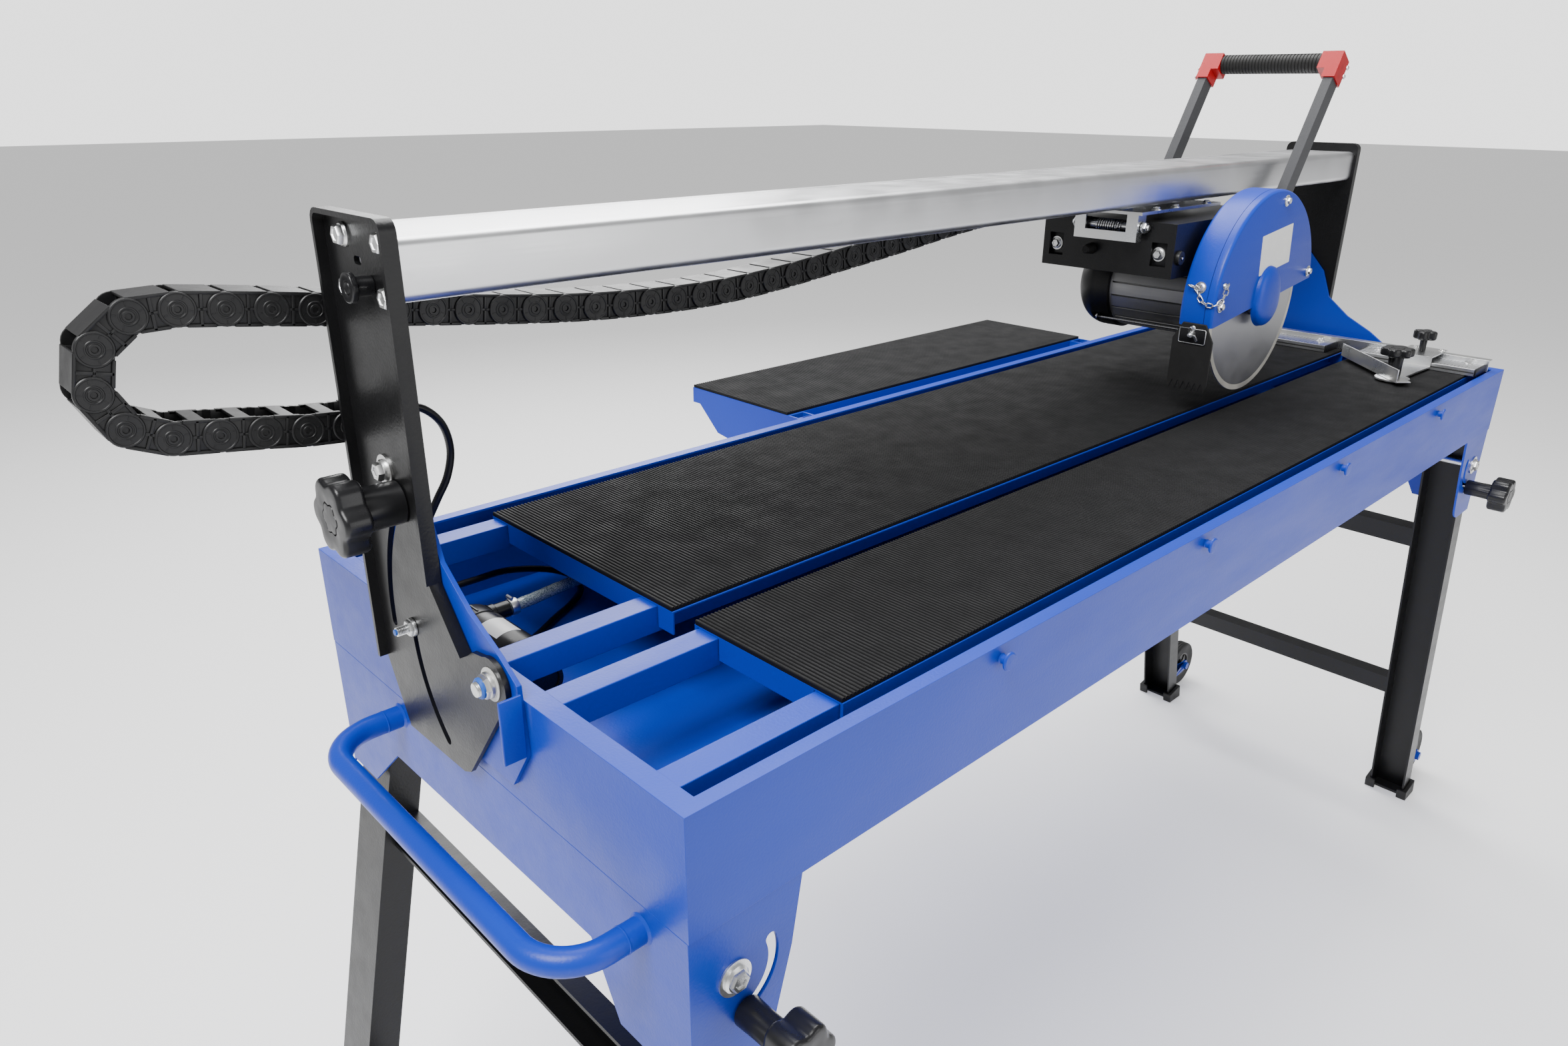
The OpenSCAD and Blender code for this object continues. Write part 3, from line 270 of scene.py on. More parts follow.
studio = {"world": 0.42, "backdrop": 2.2, "floorTone": 0.9, "floorGlow": 0.35, "aim": (0, 0, 0.7), "lamps": [
    # name, place in metres, size, watts
    ("windowSide", (-2.2, -0.6, 3.4), 1.5, 150),
    ("overhead", (0.6, 0.8, 3.4), 2.2, 130),
    ("frontFill", (0.6, -3.6, 1.6), 2.4, 40),
    ("backRim", (1.2, 3.0, 2.6), 1.8, 80)]}
world = bpy.data.worlds.new("studio")
world.use_nodes = True
sky, white = world.node_tree, (1, 1, 1, 1)
light = sky.nodes["Background"]
light.inputs["Color"].default_value, light.inputs["Strength"].default_value = white, studio["world"]
seen = build(world, "Background", {"Color": white, "Strength": studio["backdrop"]})
ray = build(world, "LightPath").outputs["Is Camera Ray"]
pick = build(world, "MixShader", {0: ray, 1: light.outputs[0], 2: seen.outputs[0]})
sky.links.new(pick.outputs[0], sky.nodes["World Output"].inputs["Surface"])
bpy.context.scene.world = world
for name, place, size, watts in studio["lamps"]:
    lamp = bpy.data.lights.new(name, "AREA")
    lamp.shape, lamp.size, lamp.energy = "SQUARE", size, watts
    stand = bpy.data.objects.new(name, lamp)
    link(stand)
    u, v, w = axes(np.array(place) - studio["aim"])
    turnTo = np.eye(4)
    turnTo[:3, :3] = np.stack([u, v, w], 1)
    turnTo[:3, 3] = place
    stand.matrix_world = Matrix(turnTo.tolist())


def newMaterial(name, colour, roughness, metallic=0.0, **sockets):
    # a material and its shader; other inputs are given by name, with _ for a space
    material = bpy.data.materials.new(name)
    material.use_nodes = True
    shader = material.node_tree.nodes["Principled BSDF"]
    shader.inputs["Base Color"].default_value = (*colour, 1)
    shader.inputs["Roughness"].default_value = roughness
    shader.inputs["Metallic"].default_value = metallic
    for key, value in sockets.items():
        shader.inputs[key.replace("_", " ")].default_value = value
    material.diffuse_color = (*colour, 1)
    return material, shader


def connect(material, fromSocket, shader, key):
    material.node_tree.links.new(fromSocket, shader.inputs[key])


def own(material, stretch=(1, 1, 1)):
    # the piece's own coordinates in metres, stretched
    place = build(material, "TexCoord").outputs["Object"]
    return build(material, "Mapping", {"Vector": place, "Scale": stretch}).outputs["Vector"]


def noise(material, vector, scale, detail=3, roughness=0.5):
    return build(material, "TexNoise", {"Vector": vector, "Scale": scale, "Detail": detail,
                                        "Roughness": roughness}).outputs["Fac"]


def remap(material, value, low, high, toLow, toHigh):
    return build(material, "MapRange", {"Value": value, "From Min": low, "From Max": high,
                                        "To Min": toLow, "To Max": toHigh}).outputs["Result"]


def maths(material, operation, a, b=0.0):
    return build(material, "Math", {0: a, 1: b}, operation=operation).outputs[0]


def blendColour(material, share, a, b):
    a, b = (c if isinstance(c, bpy.types.NodeSocket) else (*c, 1) for c in (a, b))
    return build(material, "Mix", {0: share, 6: a, 7: b}, data_type="RGBA").outputs[2]


def relief(material, height, strength, distance):
    # the normal of a surface raised by the height
    values = {"Height": height, "Strength": strength, "Distance": distance}
    return build(material, "Bump", values).outputs["Normal"]


def shaded(colour, factor):
    return tuple(min(1, c * factor) for c in colour)


def powderCoat(name, colour, worn, roughness=0.33, peel=0.35, wear=0.5):
    # baked paint with orange peel, faint clouding and small dusty specks
    material, shader = newMaterial(name, colour, roughness, Specular_IOR_Level=0.32)
    vector = own(material)
    cloud = remap(material, noise(material, vector, 5, 3), 0.3, 0.7, 0, 1)
    tone = blendColour(material, cloud, shaded(colour, 0.94), shaded(colour, 1.06))
    specks = remap(material, noise(material, vector, 210, 4, 0.65), 0.66, 0.8, 0, wear)
    tone = blendColour(material, specks, tone, worn)
    connect(material, tone, shader, "Base Color")
    smear = remap(material, noise(material, own(material, (3, 14, 14)), 3, 4, 0.6), 0.3, 0.75,
                  roughness - 0.03, roughness + 0.06)
    connect(material, smear, shader, "Roughness")
    grain = build(material, "TexVoronoi", {"Vector": vector, "Scale": 520.0},
                  feature="SMOOTH_F1").outputs["Distance"]
    ripple = maths(material, "ADD", grain, noise(material, vector, 260, 3))
    connect(material, relief(material, ripple, peel, 0.0004), shader, "Normal")
    return material


def metal(name, colour, roughness, stretch=(1, 1, 1), streak=0.12, clouding=0.08, tint=None):
    # plated, brushed or anodised metal: fine lines along the long direction, soft clouding, a few scuffs
    material, shader = newMaterial(name, colour, roughness, 1.0)
    vector = own(material, stretch)
    lines = noise(material, vector, 420, 5, 0.65)
    clouds = noise(material, own(material), 22, 4)
    tone = blendColour(material, remap(material, clouds, 0.35, 0.7, 0, 1), shaded(colour, 1 - clouding),
                       tint or shaded(colour, 1 + clouding))
    scuff = remap(material, noise(material, own(material, (1, 3, 1)), 38, 6, 0.7), 0.62, 0.74, 0, 0.2)
    tone = blendColour(material, scuff, tone, shaded(colour, 0.72))
    connect(material, tone, shader, "Base Color")
    rough = maths(material, "ADD", remap(material, lines, 0.25, 0.75, roughness - streak, roughness + streak),
                  remap(material, clouds, 0.3, 0.7, -0.04, 0.06))
    connect(material, rough, shader, "Roughness")
    connect(material, relief(material, lines, 0.05, 0.0002), shader, "Normal")
    return material


def moulded(name, colour, roughness, grainScale=900, depth=0.25, specular=0.36):
    # moulded plastic or rubber: sparked texture, handling marks and a little dust
    material, shader = newMaterial(name, colour, roughness, Specular_IOR_Level=specular)
    vector = own(material)
    grain = noise(material, vector, grainScale, 3, 0.6)
    marks = remap(material, noise(material, vector, 28, 5, 0.6), 0.35, 0.7, -0.07, 0.1)
    connect(material, maths(material, "ADD", marks, roughness), shader, "Roughness")
    dust = remap(material, noise(material, vector, 60, 6, 0.7), 0.5, 0.8, 0, 0.3)
    lighter = tuple(c * 1.3 + 0.006 for c in colour)
    connect(material, blendColour(material, dust, colour, lighter), shader, "Base Color")
    connect(material, relief(material, grain, depth, 0.0002), shader, "Normal")
    return material


print("materials")
blue, black = (0.004, 0.036, 0.40), (0.006, 0.006, 0.0065)
bluePaint = powderCoat("bluePaint", blue, (0.04, 0.12, 0.6), 0.36, 0.2, 0.22)
blackPaint = powderCoat("blackPaint", black, (0.05, 0.05, 0.055), 0.34, 0.2, 0.25)
armPaint = powderCoat("armPaint", (0.045, 0.046, 0.05), (0.12, 0.12, 0.125), 0.35, 0.12, 0.3)
anodised = metal("anodised", (0.74, 0.745, 0.76), 0.34, (0.02, 1, 1), 0.05, 0.02)
finnedAluminium = metal("finnedAluminium", (0.47, 0.47, 0.47), 0.52, (1, 0.03, 1), 0.08, 0.06)
zinc = metal("zinc", (0.74, 0.755, 0.77), 0.3, (1, 1, 1), 0.05, 0.04, (0.78, 0.775, 0.75))
steel = metal("steel", (0.56, 0.56, 0.57), 0.25, (1, 1, 1), 0.08, 0.06)
blackPlastic = moulded("blackPlastic", (0.009, 0.009, 0.0095), 0.4, 800, 0.2)
satinPlastic = moulded("satinPlastic", (0.009, 0.009, 0.01), 0.3, 1400, 0.1)
blackRubber = moulded("blackRubber", (0.009, 0.0088, 0.0085), 0.58, 500, 0.3)
matRubber = moulded("matRubber", (0.006, 0.006, 0.0065), 0.68, 1200, 0.15, 0.18)
tyreRubber = moulded("tyreRubber", (0.013, 0.013, 0.013), 0.66, 400, 0.35)
redPlastic = moulded("redPlastic", (0.42, 0.004, 0.008), 0.3, 900, 0.06)
# dark moulding for the printed ruler ticks and for the painted shade of the ruler grooves
inkAndGrooveShade = moulded("inkAndGrooveShade", (0.03, 0.03, 0.03), 0.6)
bladeSteel = metal("bladeSteel", (0.46, 0.46, 0.47), 0.36, (1, 1, 1), 0.05, 0.03)
diamondRim = metal("diamondRim", (0.66, 0.64, 0.58), 0.6, (1, 1, 1), 0.1, 0.15)
whiteLabel = moulded("whiteLabel", (0.78, 0.78, 0.76), 0.35, 700, 0.05)
nutBlue = moulded("nutBlue", (0.02, 0.10, 0.45), 0.4, 900, 0.1)
paleWasher = moulded("paleWasher", (0.55, 0.55, 0.53), 0.4, 900, 0.1)
braidedHose, hoseShader = newMaterial("braidedHose", (0.30, 0.37, 0.39), 0.22, Coat_Weight=0.6)
threads = noise(braidedHose, own(braidedHose), 900, 2)
connect(braidedHose, blendColour(braidedHose, remap(braidedHose, threads, 0.42, 0.6, 0, 1),
                                 (0.16, 0.22, 0.24), (0.55, 0.62, 0.62)), hoseShader, "Base Color")
connect(braidedHose, relief(braidedHose, threads, 0.3, 0.0003), hoseShader, "Normal")
slotOf = {bluePaint: "blue_paint", blackPaint: "black_paint", anodised: "aluminium", zinc: "zinc",
          steel: "steel", finnedAluminium: "motor_grey", bladeSteel: "blade_steel", diamondRim: "blade_steel",
          tyreRubber: "tyre", blackPlastic: "black_plastic", satinPlastic: "black_plastic",
          whiteLabel: "black_plastic", nutBlue: "black_plastic", paleWasher: "black_plastic",
          blackRubber: "black_rubber", matRubber: "rubber_mat", braidedHose: "hose_clear",
          inkAndGrooveShade: "black_paint"}

nodeMaterials = {
    bluePaint: "tub support_bars table_plates pivot_brackets leg_brackets lift_handle hook_studs side_table"
               " guard_back guard_front wheel_forks",
    blackPaint: "post_near post_far motor_bracket leg_frame_near leg_frame_far",
    armPaint: "handle_frame",
    anodised: "rail ruler_bars",
    finnedAluminium: "motor_housing",
    zinc: "tilt_pins leg_pins rail_bolts carriage_plate ruler_backing fence_slider angle_bar guard_bolts",
    steel: "roller_axles plunge_pin plunge_spring motor_tie_rods spindle blade",
    matRubber: "mats side_mat",
    blackRubber: "splash_flap handle_grip pump_cable feet_near feet_far water_hose",
    blackPlastic: "cable_chain lock_knob tilt_knob_near tilt_knob_far roller_pair_near roller_pair_far"
                  " motor_end_cap pump hose_tail fence_knob angle_knob leg_knob_near_front"
                  " leg_knob_near_back leg_knob_far_front leg_knob_far_back",
    redPlastic: "handle_corners",
    tyreRubber: "wheel_front wheel_back"}
# how far the sharp edges of the folded and machined nodes are rounded, in millimetres
edgeRounding = {
    0.9: "tub support_bars table_plates leg_frame_near leg_frame_far side_table",
    0.6: "pivot_brackets leg_brackets post_near post_far motor_bracket handle_frame",
    0.4: "wheel_forks hook_studs ruler_bars ruler_backing fence_slider angle_bar carriage_plate",
    1.2: "feet_near feet_far splash_flap",
    2.0: "handle_corners"}


def finishNode(node, width):
    # joins the node's loose triangles, clears the flat faces' diagonals and rounds the edges
    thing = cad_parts[node]
    thing.data.polygons.foreach_set("use_smooth", np.ones(len(thing.data.polygons), bool))
    thing.modifiers.new("join", "WELD").merge_threshold = 1e-5
    flat = thing.modifiers.new("flat", "DECIMATE")
    flat.decimate_type, flat.angle_limit = "DISSOLVE", radians(0.6)
    edge = thing.modifiers.new("edge", "BEVEL")
    edge.width, edge.segments, edge.limit_method = width / 1000, 2, "ANGLE"
    edge.angle_limit, edge.miter_outer = radians(40), "MITER_ARC"
    edge.use_clamp_overlap, edge.loop_slide = True, True
    thing.modifiers.new("shade", "WEIGHTED_NORMAL").keep_sharp = True


for material, names in nodeMaterials.items():
    for node in names.split():
        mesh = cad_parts[node].data
        mesh.materials.clear()
        mesh.materials.append(material)
for width, names in edgeRounding.items():
    for node in names.split():
        finishNode(node, width)


def hexagon(t, r):
    # k(t) of a hexagon with its corners at 0, 60, 120 ... degrees
    return np.cos(np.pi / 6) / np.cos(np.mod(t, np.pi / 3) - np.pi / 6) + 0 * r


def hexBolt(centre, axis, r, height, flange=1.3, washer=0.0, threadR=0.0, threadL=0.0):
    # a flanged hexagon head on an optional washer, with an optional threaded end standing out of it
    shells, base = [], 0.0
    if washer:
        shells.append(lathe([(r * 0.5, 0), (r * 1.65, 0), (r * 1.65, washer), (r * 0.5, washer)],
                            centre, axis, 40))
        base = washer
    shells.append(lathe([(r * 0.4, base), (r * flange, base), (r * flange, base + r * 0.16),
                         (r * 1.02, base + r * 0.34), (r * 0.4, base + r * 0.34)], centre, axis, 40))
    top = base + height
    shells.append(lathe([(r * 0.5, base), (r, base), (r, top - r * 0.2), (r * 0.86, top), (r * 0.6, top),
                         (r * 0.52, top - r * 0.12), (r * 0.1, top - r * 0.12)], centre, axis, 36,
                        radial=hexagon))
    if threadL:
        shells.append(thread(centre, axis, threadR, top - 1, top + threadL))
    return shells


def thread(centre, axis, r, low, high, pitch=1.25):
    # r(h) = r - 0.3 p (1 + cos 2 pi h / p) / 2: ridges that stand for the screw's turns
    h = np.arange(low, high, pitch / 4)
    ridge = r - 0.3 * pitch * (1 + np.cos(2 * np.pi * h / pitch))
    profile = [(r * 0.1, low)] + list(zip(ridge, h)) + [(r * 0.75, high), (r * 0.1, high)]
    return lathe(profile, centre, axis, 20)


def starKnob(centre, axis, look):
    # r(t, h) = R(h) (1 - d(r) ((1 - cos n t) / 2) ^ 1.4): lobes that fade out towards the stem and the middle
    big, stem, length, thick = look["r"], look["stemR"], look["stemL"], look["thick"]
    soft, n = min(3.5, thick * 0.25), look["lobes"]
    low, top = length, length + thick
    curve = np.radians(np.linspace(0, 90, 5))
    profile = [(stem * 0.3, 0), (stem * 0.96, 0), (stem, 0.8), (stem, low * 0.55),
               (stem * 1.05, low - 1.2), (stem * 1.3, low)]
    profile += [(big - soft + soft * sin(a), low + soft - soft * cos(a)) for a in curve]
    profile += [(big - soft + soft * cos(a), top - soft + soft * sin(a)) for a in curve]
    disc = big * 0.4
    profile += [(big * 0.62, top - 0.2), (disc + 1.0, top - 0.5), (disc + 0.6, top - 1.4), (disc, top - 1.4),
                (disc - 0.5, top - 0.3), (disc * 0.5, top), (disc * 0.08, top)]

    def lobed(t, r):
        fade = np.clip((r - stem * 1.15) / (big - stem * 1.15), 0, 1)
        wave = (0.5 - 0.5 * np.cos(n * t)) ** 1.4
        return 1 - look["deep"] * wave * fade
    return lathe(profile, centre, axis, 24 * n if n < 5 else 16 * n, radial=lobed)


def rod(r, length, centre, axis, sides=24, inner=0.5):
    # S(h, t) = c + r (u cos t + v sin t) + h w: a plain round bar
    return lathe([(inner, 0), (r, 0), (r, length), (inner, length)], centre, axis, sides)


bladeLow, bladeHigh = span("blade")
bladeAt = (bladeLow + bladeHigh) / 2
railLow, railHigh = span("rail")
railMid = (railLow[1] + railHigh[1]) / 2

print("cords")
# both routes run along the part's own points
cableLook = {"radius": 3.5, "sides": 12, "route": [
    (22.5, 425, 156), (42, 425, 158), (62, 426, 152), (78, 428, 135), (84, 430, 110), (78, 430, 86),
    (66, 431, 66), (54, 436, 40), (48, 444, 8), (56, 460, -22), (80, 482, -44), (122, 500, -54),
    (170, 514, -62), (216, 512, -74), (238, 496, -84), (232, 474, -90), (208, 454, -91),
    (176, 436, -91), (148, 418, -90), (128, 404, -86), (111, 396, -76)]}
hoseLook = {"radius": 6.0, "sides": 24, "braids": 8, "route": [
    (122, 428, -58), (150, 430, -58), (185, 437, -59), (227, 446, -63), (290, 450, -76),
    (360, 444, -87), (430, 430, -89), (490, 412, -89), (530, 398, -89)]}


def lengthOf(points):
    return float(distances(points)[-1]) / 1000


def braidedTube(path, look):
    # r(s, t) = R - 0.35 |sin(n t / 2 + k s) sin(n t / 2 - k s)|: two families of threads wound both ways
    p = np.asarray(path, float)
    s = distances(p)
    shell = sweep(circle(1, look["sides"]), p)
    ring = shell[0].reshape(len(p), look["sides"], 3)
    t = np.arange(look["sides"]) * 2 * np.pi / look["sides"]
    k = 2 * np.pi / 26
    around, onward = look["braids"] * t / 2, k * s[:, None]
    weave = np.abs(np.sin(around + onward) * np.sin(around - onward))
    r = look["radius"] - 0.35 * weave
    points = p[:, None] + (ring - p[:, None]) * r[..., None]
    return points.reshape(-1, 3), shell[1]


cablePath = smoothCurve(cableLook["route"], 6)
hosePath = smoothCurve(hoseLook["route"], 40)
pumpLow = span("pump")[0]

# the cable hangs from the chain's fixed end on the bridge and ends at the pump in the tub
cable = makePiece("pump_cable_line", [sweep(circle(cableLook["radius"], cableLook["sides"]), cablePath)],
                  None, satinPlastic, ["pump_cable"], slotName="black_rubber",
                  blended=("base", "bridge", toRow((60, 440, 10)), toRow((60, 430, 130))))
lengthOf(cablePath)
hose = makePiece("water_hose_line", [braidedTube(hosePath, hoseLook)], "base", braidedHose,
                 ["water_hose"], sharp=80)
tailAxis = np.array([cos(radians(-20)), sin(radians(-20)), 0])
tailProfile = [(2, 0), (5.4, 0), (5.4, 6)]
for barb in range(3):
    tailProfile += [(4.2, 8 + 4 * barb), (5.4, 11.5 + 4 * barb)]
tailProfile += [(4.6, 22), (4.6, 30), (4.0, 32), (2.5, 32), (2.5, 31)]
hoseTail = makePiece("hose_nozzle", [lathe(tailProfile, hosePath[-1], tailAxis, 28)], "base",
                     blackPlastic, ["hose_tail"])
lengthOf(hosePath)

print("mats")
matLook = {"pitch": 4.0, "depth": 1.1, "shape": [(0, -1), (0.08, -0.3), (0.2, 0), (0.56, 0),
                                                  (0.68, -0.3), (0.76, -1)], "slotMargin": 15.5}


def ribbedMat(low, high):
    # z(x) repeats one rib's outline with the pitch: ribs run across the saw from front to back
    count = int((high[0] - low[0] - 1) // matLook["pitch"])
    step = (high[0] - low[0]) / (count + 0.24)
    shape = np.array(matLook["shape"])
    x = (low[0] + (np.arange(count + 1)[:, None] + shape[None, :, 0]) * step).ravel()
    z = (high[2] + matLook["depth"] * np.tile(shape[:, 1], (count + 1, 1))).ravel()
    keep = x < high[0] - 0.01
    x, z = np.append(x[keep], high[0]), np.append(z[keep], z[keep][-1])
    ring = [(low[1], z), (high[1], z), (high[1], low[2] + 0 * z), (low[1], low[2] + 0 * z)]
    return gridShell(np.stack([np.stack([x, y + 0 * x, h], -1) for y, h in ring], 1), closeV=True, caps=True)


matsLow, matsHigh = span("mats")
slotLow, slotHigh = bladeAt[1] - matLook["slotMargin"], bladeAt[1] + matLook["slotMargin"]
for name, low, high, body, node in (("mat_front", matsLow, (matsHigh[0], slotLow, matsHigh[2]), "base", "mats"),
                                    ("mat_rear", (matsLow[0], slotHigh, matsLow[2]), matsHigh, "base", "mats"),
                                    ("mat_side", *span("side_mat"), "side_board", "side_mat")):
    makePiece(name, [ribbedMat(low, high)], body, matRubber, [node], sharp=30)

print("rail")
railLook = {"outer": 8, "wall": 3, "slot": 36, "groove": 0.9}


def railOutline():
    # a rounded channel whose lower face is open along its middle, with two fine grooves on top
    (y0, z0), (y1, z1) = railLow[1:], railHigh[1:]
    r, w, half, g = railLook["outer"], railLook["wall"], railLook["slot"] / 2, railLook["groove"]
    outer = [(railMid + half, z0)]
    outer += arcPoints((y1 - r, z0 + r), r, -90, 0) + arcPoints((y1 - r, z1 - r), r, 0, 90)
    for y in (y1 - 14, y1 - 20):
        outer += [(y + g, z1), (y, z1 - g), (y - g, z1)]
    outer += arcPoints((y0 + r, z1 - r), r, 90, 180) + arcPoints((y0 + r, z0 + r), r, 180, 270)
    outer += [(railMid - half, z0), (railMid - half, z0 + w)]
    inner = arcPoints((y0 + r, z0 + r), r - w, 270, 180) + arcPoints((y0 + r, z1 - r), r - w, 180, 90)
    inner += arcPoints((y1 - r, z1 - r), r - w, 90, 0) + arcPoints((y1 - r, z0 + r), r - w, 0, -90)
    return np.array(outer + inner + [(railMid + half, z0 + w)])


railRing = railOutline()
railX = np.linspace(railLow[0], railHigh[0], 9)
railPoints = np.stack([np.insert(railRing, 0, x, axis=1) for x in railX])
# S(i, j): the outline j carried straight along x(i)
makePiece("rail_extrusion", [gridShell(railPoints, closeV=True, caps=True)], "bridge", anodised, ["rail"],
          sharp=40)

print("cable chain")
chainLow, chainHigh = span("cable_chain")
chainLook = {"pitch": 32.0, "height": 26.0, "loopR": 46, "loopX": -130, "loopZ": 217, "disc": 12.6,
             "reach": 164, "fixed": (22, 143), "lowEnd": 60, "midY": 425,
             "sag": [(0.9, 4), (0.8, 14), (0.71, 26), (0.615, 37), (0.535, 46), (0.46, 51), (0.38, 50),
                     (0.295, 44), (0.185, 30), (0.115, 20), (0.055, 11)]}


def chainLine():
    # a sagging run from the carriage, half a circle beyond the near post and a short run back to it
    c = chainLook
    endX, endZ = bladeAt[0] - c["reach"], railLow[2] + 7
    fixed = (c["fixed"][0], c["fixed"][1] + c["height"] / 2)
    run = [(endX, endZ), (endX - 40, endZ)]
    run += [(c["loopX"] + s * (endX - 40 - c["loopX"]), railLow[2] - drop) for s, drop in c["sag"]]
    run += arcPoints((c["loopX"], c["loopZ"]), c["loopR"], 90, 270, 12)
    return smoothCurve(run + [(-70, 163), (-22, fixed[1]), fixed], 6)


def chainLink(width):
    # one link from its pivot at x 0 to the next at the pitch; its closed bar is at +z
    p, h, d = chainLook["pitch"], chainLook["height"] / 2, chainLook["disc"]
    shells = [boxShell((2.6, 0.4, h - 2.2), (p - 1.6, width - 0.4, h - 0.1), 0.4, 0.6),
              boxShell((10.5, 1.5, -h + 0.1), (p - 10.5, width - 1.5, -h + 2.4), 0.4, 0.6)]
    face = [(d, 3.4), (d, 0.7), (d - 0.6, 0), (d - 1.6, 0), (d - 2.0, 0.6), (6.6, 0.6), (6.2, 0.2), (5.4, 0.2),
            (5.0, 0.6), (4.2, 0.6), (3.8, 0), (2.4, 0), (2.0, 1.2), (0.3, 1.2)]
    for side in (0, 1):
        out, y = (-1, width) if side else (1, 0)
        shells.append(lathe([(r, k * out) for r, k in face], (0, y, 0), toBack, 28))
        web, rim = sorted((y + 2.0 * out, y + 4.2 * out)), sorted((y + 0.7 * out, y + 4.2 * out))
        shells.append(boxShell((3, web[0], -h + 0.6), (p - 3, web[1], h - 0.6), 0.2, 0.4))
        for z in (-h + 0.2, h - 2.6):
            shells.append(boxShell((6.5, rim[0], z), (p - 6.5, rim[1], z + 2.4), 0.3, 0.3))
        shells.append(boxShell((p / 2 - 5, rim[0], -1.0), (p / 2 + 5, rim[1], 1.0), 0.2, 0.3))
        for t in (-1, 1):
            shells.append(boxShell((p / 2 - 1.2, rim[0], min(0, t * (h - 1))),
                                   (p / 2 + 1.2, rim[1], max(0, t * (h - 1))), 0.2, 0.3))
        spokeY = sorted((y + 0.3 * out, y + 0.9 * out))
        for k in range(5):
            spoke = boxShell((7.4, spokeY[0], -0.35), (10.0, spokeY[1], 0.35), 0.1, 0.1)
            shells.append(moved(spoke, turned("Y", 72 * k + 20)))
    return shells


chainPath = chainLine()
chainLength = distances(chainPath)[-1]
pivotCount = int(chainLength // chainLook["pitch"]) + 1
pitch = chainLength / pivotCount
pivots = evenly(chainPath, np.arange(pivotCount + 1) * pitch)
oneLink = chainLink(chainHigh[1] - chainLow[1])
chainParts = {"upper": [], "loop": [], "lower": []}
for here, there in zip(pivots[:-1], pivots[1:]):
    d = (there - here) / norm(there - here)
    turn = np.array([[d[0], 0, d[1]], [0, -1, 0], [d[1], 0, -d[0]]]).T
    place = (here[0], chainHigh[1], here[1])
    middle = (here + there) / 2
    isLow = middle[0] < chainLook["lowEnd"] and middle[1] < chainLook["loopZ"]
    part = "loop" if middle[0] < chainLook["loopX"] + pitch / 2 else "lower" if isLow else "upper"
    chainParts[part] += [moved(s, turn, place) for s in oneLink]
# each run's ends lie at its own end and at that end mirrored about where it meets the loop; they go with the
# loop's ends into blended, and the pieces ride on no body
loopX, farX, fixedX = chainLook["loopX"], bladeAt[0] - chainLook["reach"], chainLook["fixed"][0]
meets = {part: min(points[:, 0].min() for points, _ in chainParts[part]) for part in ("upper", "lower")}
ends = {"upper": (2 * meets["upper"] - farX, farX), "loop": (loopX - 9000, loopX + 9000),
        "lower": (fixedX, 2 * meets["lower"] - fixedX)}
for part, (fromX, toX) in ends.items():
    makePiece("cable_chain_" + part, chainParts[part], None, blackPlastic, ["cable_chain"],
              blended=("bridge", "carriage", toRow((fromX, chainLook["midY"], 0)),
                       toRow((toX, chainLook["midY"], 0))))

print("knobs")
# lobes and their depth, the stem's radius and length, the star's thickness and the stud's radius
knobKinds = {"tilt": (6, 0.17, 17, 32, 21, 3.9), "lock": (6, 0.03, 7, 13, 5, 3.6),
             "leg": (6, 0.18, 12, 36, 25.5, 4.0), "fence": (4, 0.34, 5, 18, 14, 3.0),
             "angle": (6, 0.2, 10, 30, 12, 4.0)}
knobs = [("tilt_knob_near", "tilt_clamp_near", toNear), ("tilt_knob_far", "tilt_clamp_far", toFar),
         ("lock_knob", "bridge_lock", toNear)]
knobs += [(f"leg_knob_{end}_{side}", f"leg_clamp_{end}_{side}", axis) for end in ("near", "far")
          for side, axis in (("front", toFront), ("back", toBack))]
knobs += [("fence_knob", "fence_clamp", toTop), ("angle_knob", "mitre_clamp", toTop)]
for node, body, axis in knobs:
    lobes, deep, stemR, stemL, thick, studR = knobKinds[node.split("_")[0]]
    low, high = span(node)
    k = int(np.argmax(np.abs(axis)))
    across = [i for i in range(3) if i != k]
    start = (low + high) / 2
    start[k] = (high if axis[k] > 0 else low)[k] - axis[k] * (stemL + thick)
    look = {"r": (high - low)[across].max() / 2, "stemR": stemR, "stemL": stemL, "thick": thick, "lobes": lobes,
            "deep": deep}
    makePiece(node + "_star", [starKnob(start, axis, look)], body, satinPlastic, [node])
    # the stud behind the stem's foot is steel
    shells = [thread(start, np.negative(axis), studR, -1.0, (high - low)[k] - stemL - thick)]
    if node.startswith("fence"):
        shells.append(lathe([(4.6, 0), (4.6, 5.9), (2.4, 5.9), (2.4, 0)], start + [0, 0, 0.1], toTop, 32,
                            closed=True))
    makePiece(node + "_stud", shells, body, steel)
tubLength, tubWidth = (tubHigh.x - tubLow.x) * 1000, (tubHigh.y - tubLow.y) * 1000


def atBothEnds(shells):
    # the shells and their mirror images at the tub's far end
    return shells + [moved(s, np.diag([-1.0, 1, 1]), (tubLength, 0, 0)) for s in shells]


def atBothSides(shells):
    # the shells and their mirror images at the tub's back
    return shells + [moved(s, np.diag([1.0, -1, 1]), (0, tubWidth, 0)) for s in shells]


print("motor")
motorLow, motorHigh = span("motor_housing")
capLow, capHigh = span("motor_end_cap")
shaftX, shaftZ = bladeAt[0], bladeAt[2]
motorLook = {"bands": 20, "half": 8.3, "groove": 4.6, "edge": 0.7}


def finnedOutline(look, r):
    # r(a) = R on each band, eased at its edges and cut back to R - g in the narrow grooves between
    g, h, e, b = look["groove"], look["half"], look["edge"], 360 / look["bands"]
    band = ((-8.8, g), (-h, g), (-h, e), (0.5 - h, 0), (0, 0), (h - 0.5, 0), (h, e), (h, g))
    turns = [(radians(b * k + off), r - drop) for k in range(look["bands"]) for off, drop in band]
    return [(shaftX + d * cos(t), shaftZ + d * sin(t)) for t, d in turns]


